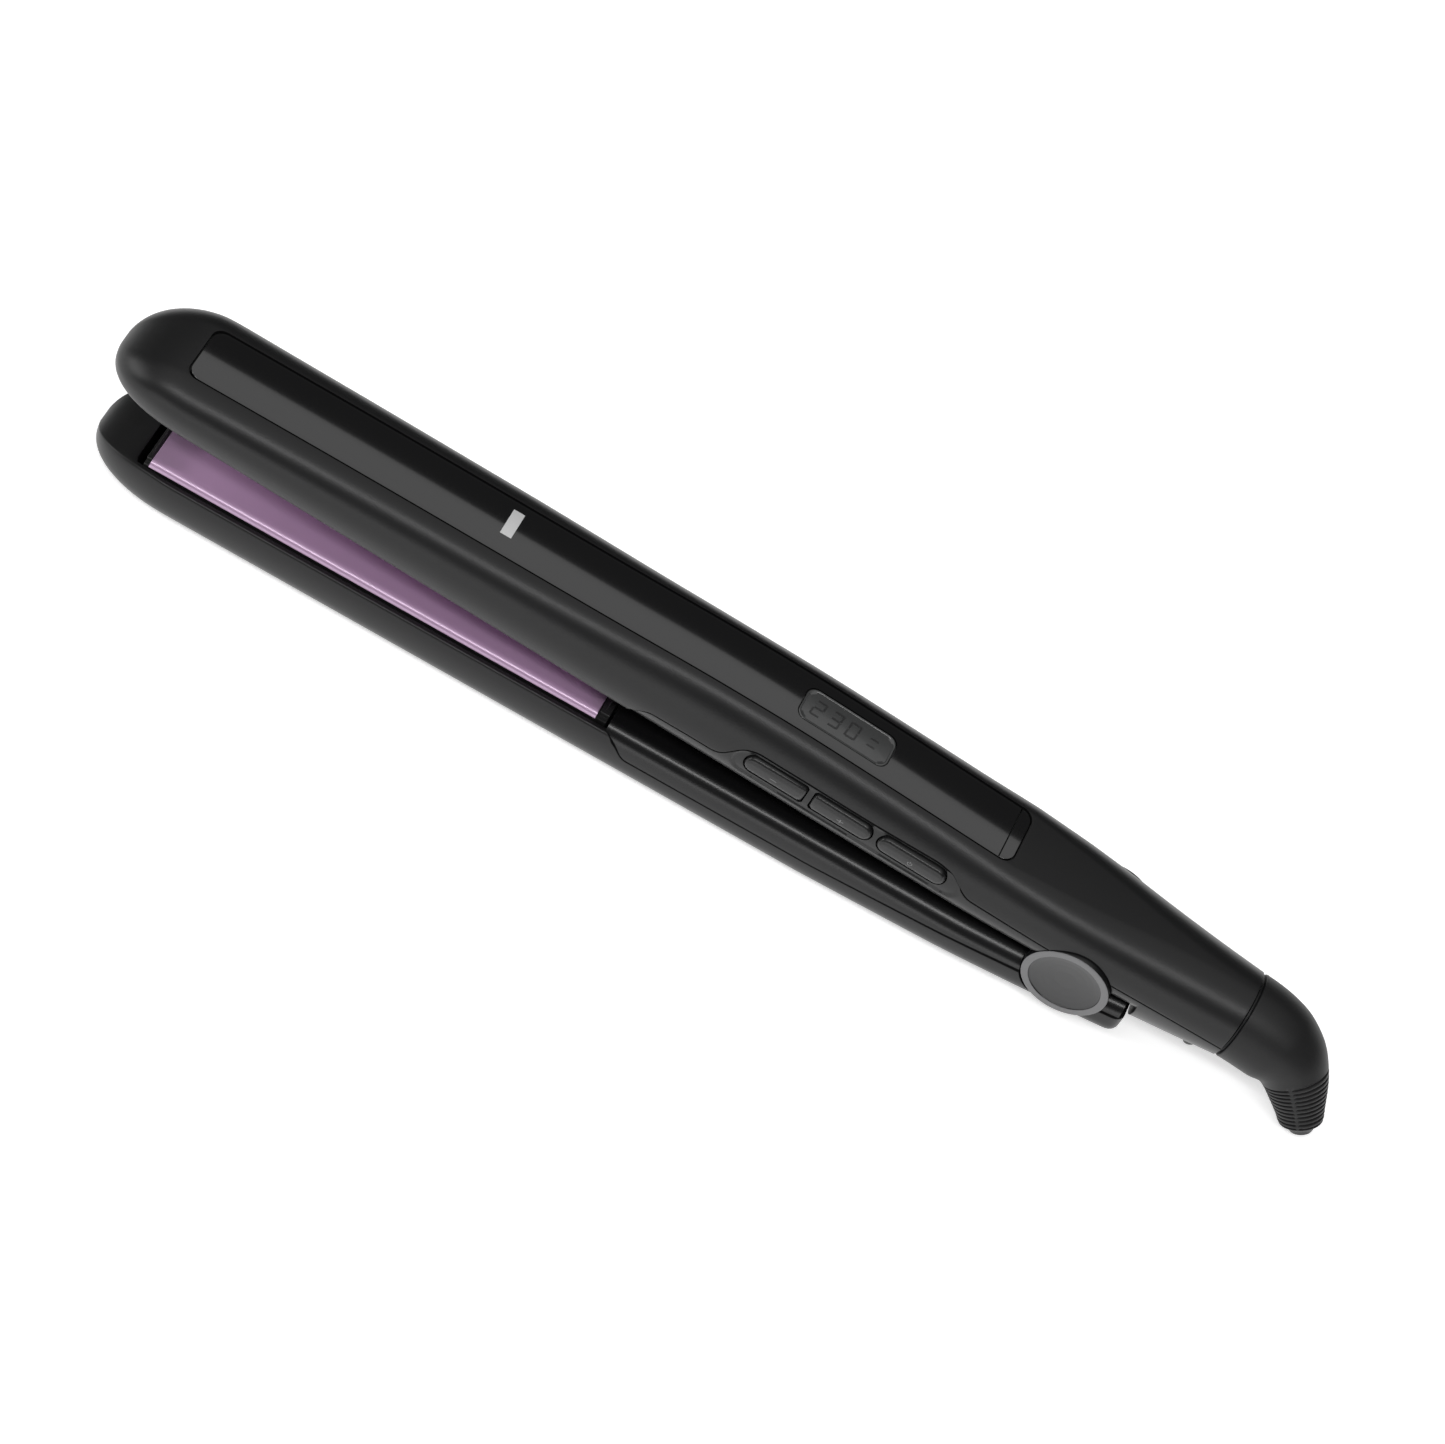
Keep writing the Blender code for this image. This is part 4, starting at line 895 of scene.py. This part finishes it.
# ---------------------------------------------------------------- plates and their trays
def plate_v(where, name):
    f, t, r, wide = PLATE_FACE, PLATE_FACE + PLATE_THICK, 1.55, 2.3
    arc = [(PLATE_HALF - wide + wide * math.sin(a), f + r - r * math.cos(a)) for a in spread(0, math.pi / 2, 16)]
    rings = []
    for x, lift in ((PLATE_X0, 0.35), (PLATE_X0 + 0.1, 0.1), (PLATE_X0 + 0.35, 0.0), (PLATE_X1 - 0.35, 0.0), (PLATE_X1 - 0.1, 0.1), (PLATE_X1, 0.35)):
        ring = [(x, y, max(d, f + lift)) for y, d in arc] + [(x, PLATE_HALF, t), (x, -PLATE_HALF, t)] + [(x, -y, max(d, f + lift)) for y, d in reversed(arc)]
        rings.append(ring)
    return loft_v(rings, where, name, 40)


def tray_v(where, name, depth):
    """The tray's body, its end blocks and the fine ribs at its ends."""
    w = 11.9
    pieces = [loft_v([[(x, y, d) for y, d in ((-w, 2.05), (w, 2.05), (w, depth - 1.5), (w - 2.0, depth), (-w + 2.0, depth), (-w, depth - 1.5))] for x in (CARRIER_X0, CARRIER_X1)], where, "body")]
    soften(pieces[0], 0.15, 2)
    for x0, x1, d in ((CARRIER_X0, PLATE_X0 - 0.25, 1.15), (PLATE_X1 + 0.25, CARRIER_X1, 0.9)):
        block = loft_v([[(x, y, dd) for y, dd in ((-w + 1.2, 2.3), (-w + 1.2, d), (w - 1.2, d), (w - 1.2, 2.3))] for x in (x0, x1)], where, "block")
        pieces.append(soften(block, 0.12, 3))
        mid = (x0 + x1) / 2
        rib = loft_v([[(mid + a, y, dd) for a, dd in ((-0.22, d + 0.1), (-0.2, d - 0.18), (0.0, d - 0.3), (0.2, d - 0.18), (0.22, d + 0.1))] for y in (-w + 2.4, w - 2.4)], where, "rib")
        pieces.append(rib)
    return join(name, *pieces)


for where, arm_name, depth in (("low", "lower", 8.0), ("up", "upper", 7.4)):
    body = f"{arm_name}_plate_float"
    stands_for(plate_v(where, f"{arm_name}_plate_skin"), PURPLE, body, "purple_plate", f"{arm_name}_plate")
    stands_for(tray_v(where, f"{arm_name}_tray_skin", depth), HEAT, body, "heat_plastic", f"{arm_name}_plate_carrier")

# ---------------------------------------------------------------- screws
for where, arm_name in (("low", "lower"), ("up", "upper")):
    for place, x in (("front", -101.5), ("rear", -24.0)):
        head = turned_v("head", where, "d", (x, 0.0, 0.0), rounded([(1.15, 0), (1.15, 2.2), (1.7, 2.2), (1.8, 1.1), (11.5, 1.1), (11.5, 0)], 0.2, 3), 48)
        cross = [prism("cross", where, [(x - a, -b), (x + a, -b), (x + a, b), (x - a, b)], 0.9, 1.5) for a, b in ((1.35, 0.28), (0.28, 1.35))]
        cut(head, *cross)
        head.name = f"{arm_name}_{place}_screw_head"
        stands_for(head, DARK_STEEL, f"{arm_name}_arm", "steel", f"{arm_name}_frame_screw_{place}")

# ---------------------------------------------------------------- hinge caps
c0, c1 = CAP_Y0, CAP_Y1
profile = [(c0, 0), (c0, 9.6), (c0 + 0.5, CAP_R), (c1 - 0.36, CAP_R), (c1 - 0.06, CAP_R - 0.06), (c1, CAP_R - 0.38), (c1, 8.32), (c1 - 0.3, 8.2), (c1 - 0.45, 7.9), (c1 - 0.72, 6.6), (c1 - 0.93, 5.0), (c1 - 1.12, 2.6), (c1 - 1.17, 0)]
DISH = plastic("cap_dish", (0.035, 0.035, 0.036), 0.3, metallic=0.1, grain=0.004, grain_size=0.3, spread=0.02)
for side, sign in (("left", -1), ("right", 1)):
    cap = turned_v(side + "_cap", "low", "y", axis_low, [(sign * v, r) for v, r in rounded(profile, 0.25, 4)], 160, 50)
    stands_for(cap, CAP, "lower_arm", "grey_cap", "hinge_cap_" + side)
    cap.data.materials.append(DISH)
    cap.data.materials.append(SATIN)
    centre = Vector(to_world("low", (0.0, sign * c1, -HINGE_D)))
    for poly in cap.data.polygons:
        p = poly.center
        if math.hypot(p.x - centre.x, p.z - centre.z) < 0.00822 and abs(p.y - centre.y) < 0.002:
            poly.material_index = 1
        # painted shade: the cap's side wall and its faces away from the outer face take the black satin, so that the
        # side reads as a dark shadowed gap around the grey cap
        elif abs(poly.normal.y) < 0.5 or abs(p.y - centre.y) > 0.002:
            poly.material_index = 2

# ---------------------------------------------------------------- buttons
for name, x0, x1, round0, round1 in BUTTONS:
    layers = [(stadium(x0 + 1.0, x1 - 1.0, BUTTON_D, BUTTON_HALF_H - 1.0, round0, round1, 12), -12.0)]
    layers.append((stadium(x0 + 1.0, x1 - 1.0, BUTTON_D, BUTTON_HALF_H - 1.0, round0, round1, 12), -12.8))
    layers.append((stadium(x0, x1, BUTTON_D, BUTTON_HALF_H, round0, round1, 12), -13.1))
    layers.append((stadium(x0, x1, BUTTON_D, BUTTON_HALF_H, round0, round1, 12), -14.05))
    for i in range(1, 13):
        a = math.pi / 2 * i / 12
        back = 1.75 * (1 - math.cos(a))
        rise = 1.13 * math.sin(a)
        layers.append((stadium(x0 + back * 0.55, x1 - back * 0.55, BUTTON_D, BUTTON_HALF_H - back, round0, round1, 12), -14.05 - rise))
    key = loft_v([[(x, y, d) for x, d in outline] for outline, y in layers], "up", name + "_cap", 45)
    mid = (x0 + x1) / 2
    y_top = -15.185

    def mark(points, y_top=y_top):
        return loft_v([[(x, y, d) for x, d in points] for y in (y_top + 0.1, y_top - 0.035)], "up", "mark")

    marks = []
    if name != "power_button":
        marks.append(mark([(mid - 0.8, BUTTON_D - 0.13), (mid + 0.8, BUTTON_D - 0.13), (mid + 0.8, BUTTON_D + 0.13), (mid - 0.8, BUTTON_D + 0.13)]))
    if name == "plus_button":
        for s in (-1, 1):
            marks.append(mark([(mid - 0.13, BUTTON_D + s * 0.15), (mid + 0.13, BUTTON_D + s * 0.15), (mid + 0.13, BUTTON_D + s * 0.62), (mid - 0.13, BUTTON_D + s * 0.62)][:: s]))
    if name == "power_button":
        arc = [(mid + 0.62 * math.cos(a), BUTTON_D + 0.62 * math.sin(a)) for a in spread(math.radians(125), math.radians(415), 20)]
        back = [(mid + 0.42 * math.cos(a), BUTTON_D + 0.42 * math.sin(a)) for a in spread(math.radians(415), math.radians(125), 20)]
        marks.append(mark(arc + back))
        marks.append(mark([(mid - 0.1, BUTTON_D + 0.1), (mid + 0.1, BUTTON_D + 0.1), (mid + 0.1, BUTTON_D + 0.72), (mid - 0.1, BUTTON_D + 0.72)]))
    stands_for(key, SATIN, name, "satin_black", name)
    marks = join(name + "_mark", *marks)
    stands_for(marks, ICON, name, "satin_black")

# ---------------------------------------------------------------- strain relief
def boot_rows(radius_of, sides):
    rows, verts = [], []
    c, s = math.cos(math.radians(-BOOT_TURN_DEG)), math.sin(math.radians(-BOOT_TURN_DEG))
    for t, radius in radius_of:
        x, r, ang = boot_centre(t)
        cx, cz = TAIL_X + 0.4 + x, -r
        row = []
        full = BOOT_RADIUS(t * BOOT_LENGTH)
        for k in range(sides):
            a = 2 * math.pi * k / sides
            reach = radius
            if t > 0.56 and 0.0 < full - radius < 0.6:
                # each groove stops at the two parting lines
                reach = full - (full - radius) * (1.0 if abs(math.cos(a)) < 0.9985 else 0.0)
            across, rise = reach * math.cos(a), reach * math.sin(a)
            px, py, pz = cx + rise * math.sin(ang), across, cz + rise * math.cos(ang)
            py, pz = py * c - pz * s, py * s + pz * c
            row.append(len(verts))
            verts.append(to_world("up", (px, py, pz + TAIL_AXIS_D)))
        rows.append(row)
    return rows, verts


skin = []
skin.append((0.0, BOOT_RADIUS(0) - 1.0))
skin.append((0.011, BOOT_RADIUS(0) - 1.0))
for i in range(8):
    a = math.pi / 2 * i / 7
    skin.append((0.012 + 0.01 * (1 - math.cos(a)), BOOT_RADIUS(0) - 0.35 + 0.35 * math.sin(a)))
t = 0.03
while t < 0.555:
    skin.append((t, BOOT_RADIUS(t * BOOT_LENGTH)))
    t += 0.015
first, pitch, ribs = 0.57, 0.0335, 11
for k in range(ribs):
    at = first + k * pitch
    for off, depth in ((0.0, 0.0), (0.0025, 0.12), (0.005, 0.33), (0.0085, 0.42), (0.012, 0.33), (0.0145, 0.12), (0.017, 0.0), (0.0215, -0.03), (0.0265, -0.03)):
        tt = at + off
        skin.append((tt, BOOT_RADIUS(tt * BOOT_LENGTH) - depth))
t = first + ribs * pitch
for tt in (t, 0.95, 0.96, 0.97, 0.98, 0.988, 0.994, 0.998, 1.0):
    if tt > skin[-1][0]:
        skin.append((tt, BOOT_RADIUS(tt * BOOT_LENGTH)))
skin += [(1.0, 2.15), (0.996, 1.9), (0.9, 1.9), (0.75, 1.9), (0.6, 1.9), (0.5, 2.6), (0.4, 2.6), (0.3, 2.6), (0.2, 2.6), (0.13, 7.0), (0.0, 7.0)]
rows, verts = boot_rows(skin, 144)
boot_skin = mesh_object("boot_skin", verts, ring_faces(rows, closed=True, caps=False), 40)
stands_for(boot_skin, RUBBER, "cord_swivel", "black_rubber", "swivel_boot")

# ---------------------------------------------------------------- lock
def lock_ring_v(x, inside, outside, half_width=5.6, count=24):
    a, w, _, _, _, ry, rd = UP_IN.sizes(x)

    def under(y, off):
        c = max(0.0, (y - ry) / (a - ry))
        return w - (w - rd + off) * math.sqrt(1 - c * c)

    half = [half_width * math.sin(math.pi / 2 * k / count) for k in range(count + 1)]
    edge = [1.0 - max(0.0, (k - count * 0.6) / (count * 0.4)) ** 2.5 for k in range(count + 1)]
    upper_edge = [(y, under(y, inside)) for y in half]
    lower_edge = [(y, under(y, inside + (outside - inside) * (0.35 + 0.65 * e))) for y, e in zip(half, edge)]
    ring = [(x, -y, d) for y, d in reversed(upper_edge)] + [(x, y, d) for y, d in upper_edge[1:]]
    ring += [(x, y, d) for y, d in reversed(lower_edge)] + [(x, -y, d) for y, d in lower_edge[1:]]
    return ring


pad = []
for x, extra in ((21.4, 0.3), (21.5, 0.5), (21.8, 0.75), (22.4, 0.88), (24, 0.9), (27, 0.9), (29.2, 0.9), (29.5, 0.98), (29.75, 1.4), (30.0, 1.9), (30.3, 2.3), (30.65, 2.52), (31.0, 2.6), (31.35, 2.52), (31.7, 2.3), (32.0, 1.9), (32.25, 1.4), (32.5, 0.95), (33.0, 0.75), (33.4, 0.6), (33.6, 0.4)):
    pad.append(lock_ring_v(x, 0.35, 0.35 + extra))
lock_skin = loft_v(pad, "up", "lock_skin", 50)
tee = loft_v([[(x, y, d) for y, d in ((-2.3, -6.95), (2.3, -6.95), (2.3, -4.0), (3.0, -4.0), (3.0, -3.7), (-3.0, -3.7), (-3.0, -4.0), (-2.3, -4.0))] for x in (22.65, 25.95)], "up", "tee")
lock_skin = join("lock_pad", lock_skin, tee)
stands_for(lock_skin, SATIN, "lock_slider", "satin_black", "lock_slider")

# ---------------------------------------------------------------- stage, light and camera
world = bpy.data.worlds.new("studio")
bpy.context.scene.world = world
world.use_nodes = True
world.node_tree.nodes["Background"].inputs["Color"].default_value = (1.0, 1.0, 1.0, 1.0)
world.node_tree.nodes["Background"].inputs["Strength"].default_value = WORLD_LIGHT

floor_mat = bpy.data.materials.new("studio_floor")
floor_mat.use_nodes = True
floor_shader = floor_mat.node_tree.nodes["Principled BSDF"]
floor_shader.inputs["Base Color"].default_value = (0.86, 0.86, 0.86, 1.0)
floor_shader.inputs["Roughness"].default_value = 0.9
floor_shader.inputs["Specular IOR Level"].default_value = 0.1
floor_shader.inputs["Emission Color"].default_value = (1.0, 1.0, 1.0, 1.0)
floor_shader.inputs["Emission Strength"].default_value = FLOOR_GLOW
bpy.ops.mesh.primitive_plane_add(size=6.0, location=(0.0, 0.0, -0.0002))
floor = bpy.context.object
floor.name = "floor"
floor.data.materials.append(floor_mat)
bpy.ops.mesh.primitive_uv_sphere_add(segments=48, ring_count=24, radius=2.95, location=(0.0, 0.0, 0.0))
backdrop = bpy.context.object
backdrop.name = "backdrop"
backdrop_mat = bpy.data.materials.new("studio_backdrop")
backdrop_mat.use_nodes = True
backdrop_shader = backdrop_mat.node_tree.nodes["Principled BSDF"]
backdrop_shader.inputs["Base Color"].default_value = (0.0, 0.0, 0.0, 1.0)
backdrop_shader.inputs["Specular IOR Level"].default_value = 0.0
backdrop_shader.inputs["Emission Color"].default_value = (1.0, 1.0, 1.0, 1.0)
backdrop_shader.inputs["Emission Strength"].default_value = 1.0
backdrop.data.materials.append(backdrop_mat)
# seen behind the object only; it neither lights it nor shows in it
backdrop.visible_diffuse = backdrop.visible_glossy = backdrop.visible_transmission = backdrop.visible_shadow = False


def softbox(name, location, target, size_x, size_y, power, roll=0.0):
    light = bpy.data.lights.new(name, "AREA")
    light.shape = "RECTANGLE"
    light.size, light.size_y = size_x, size_y
    light.energy = power
    obj = bpy.data.objects.new(name, light)
    bpy.context.scene.collection.objects.link(obj)
    obj.location = location
    direction = Vector(target) - Vector(location)
    obj.rotation_euler = direction.to_track_quat("-Z", "Y").to_euler()
    return obj


for args in LIGHTS:
    softbox(*args)

CAMERA = Vector((-88.276, -608.726, 798.462)) * 0.001 + Vector((X_SHIFT, Y_SHIFT, ARM_T + 2.64)) * 0.001
right = Vector((0.871126, 0.392012, 0.295745))
above = Vector((-0.491050, 0.691776, 0.529448))
towards = Vector((0.002960, -0.606442, 0.795122))
camera_data = bpy.data.cameras.new("camera")
camera_data.sensor_width = 36.0
camera_data.sensor_fit = "HORIZONTAL"
camera_data.lens = 36.0 * 4658.56 / 1445
camera_data.clip_start, camera_data.clip_end = 0.01, 20.0
camera = bpy.data.objects.new("camera", camera_data)
camera.matrix_world = Matrix((
    (right.x, above.x, towards.x, CAMERA.x),
    (right.y, above.y, towards.y, CAMERA.y),
    (right.z, above.z, towards.z, CAMERA.z),
    (0, 0, 0, 1),
))
bpy.context.scene.collection.objects.link(camera)
bpy.context.scene.camera = camera
bpy.context.scene.view_settings.view_transform = "Standard"
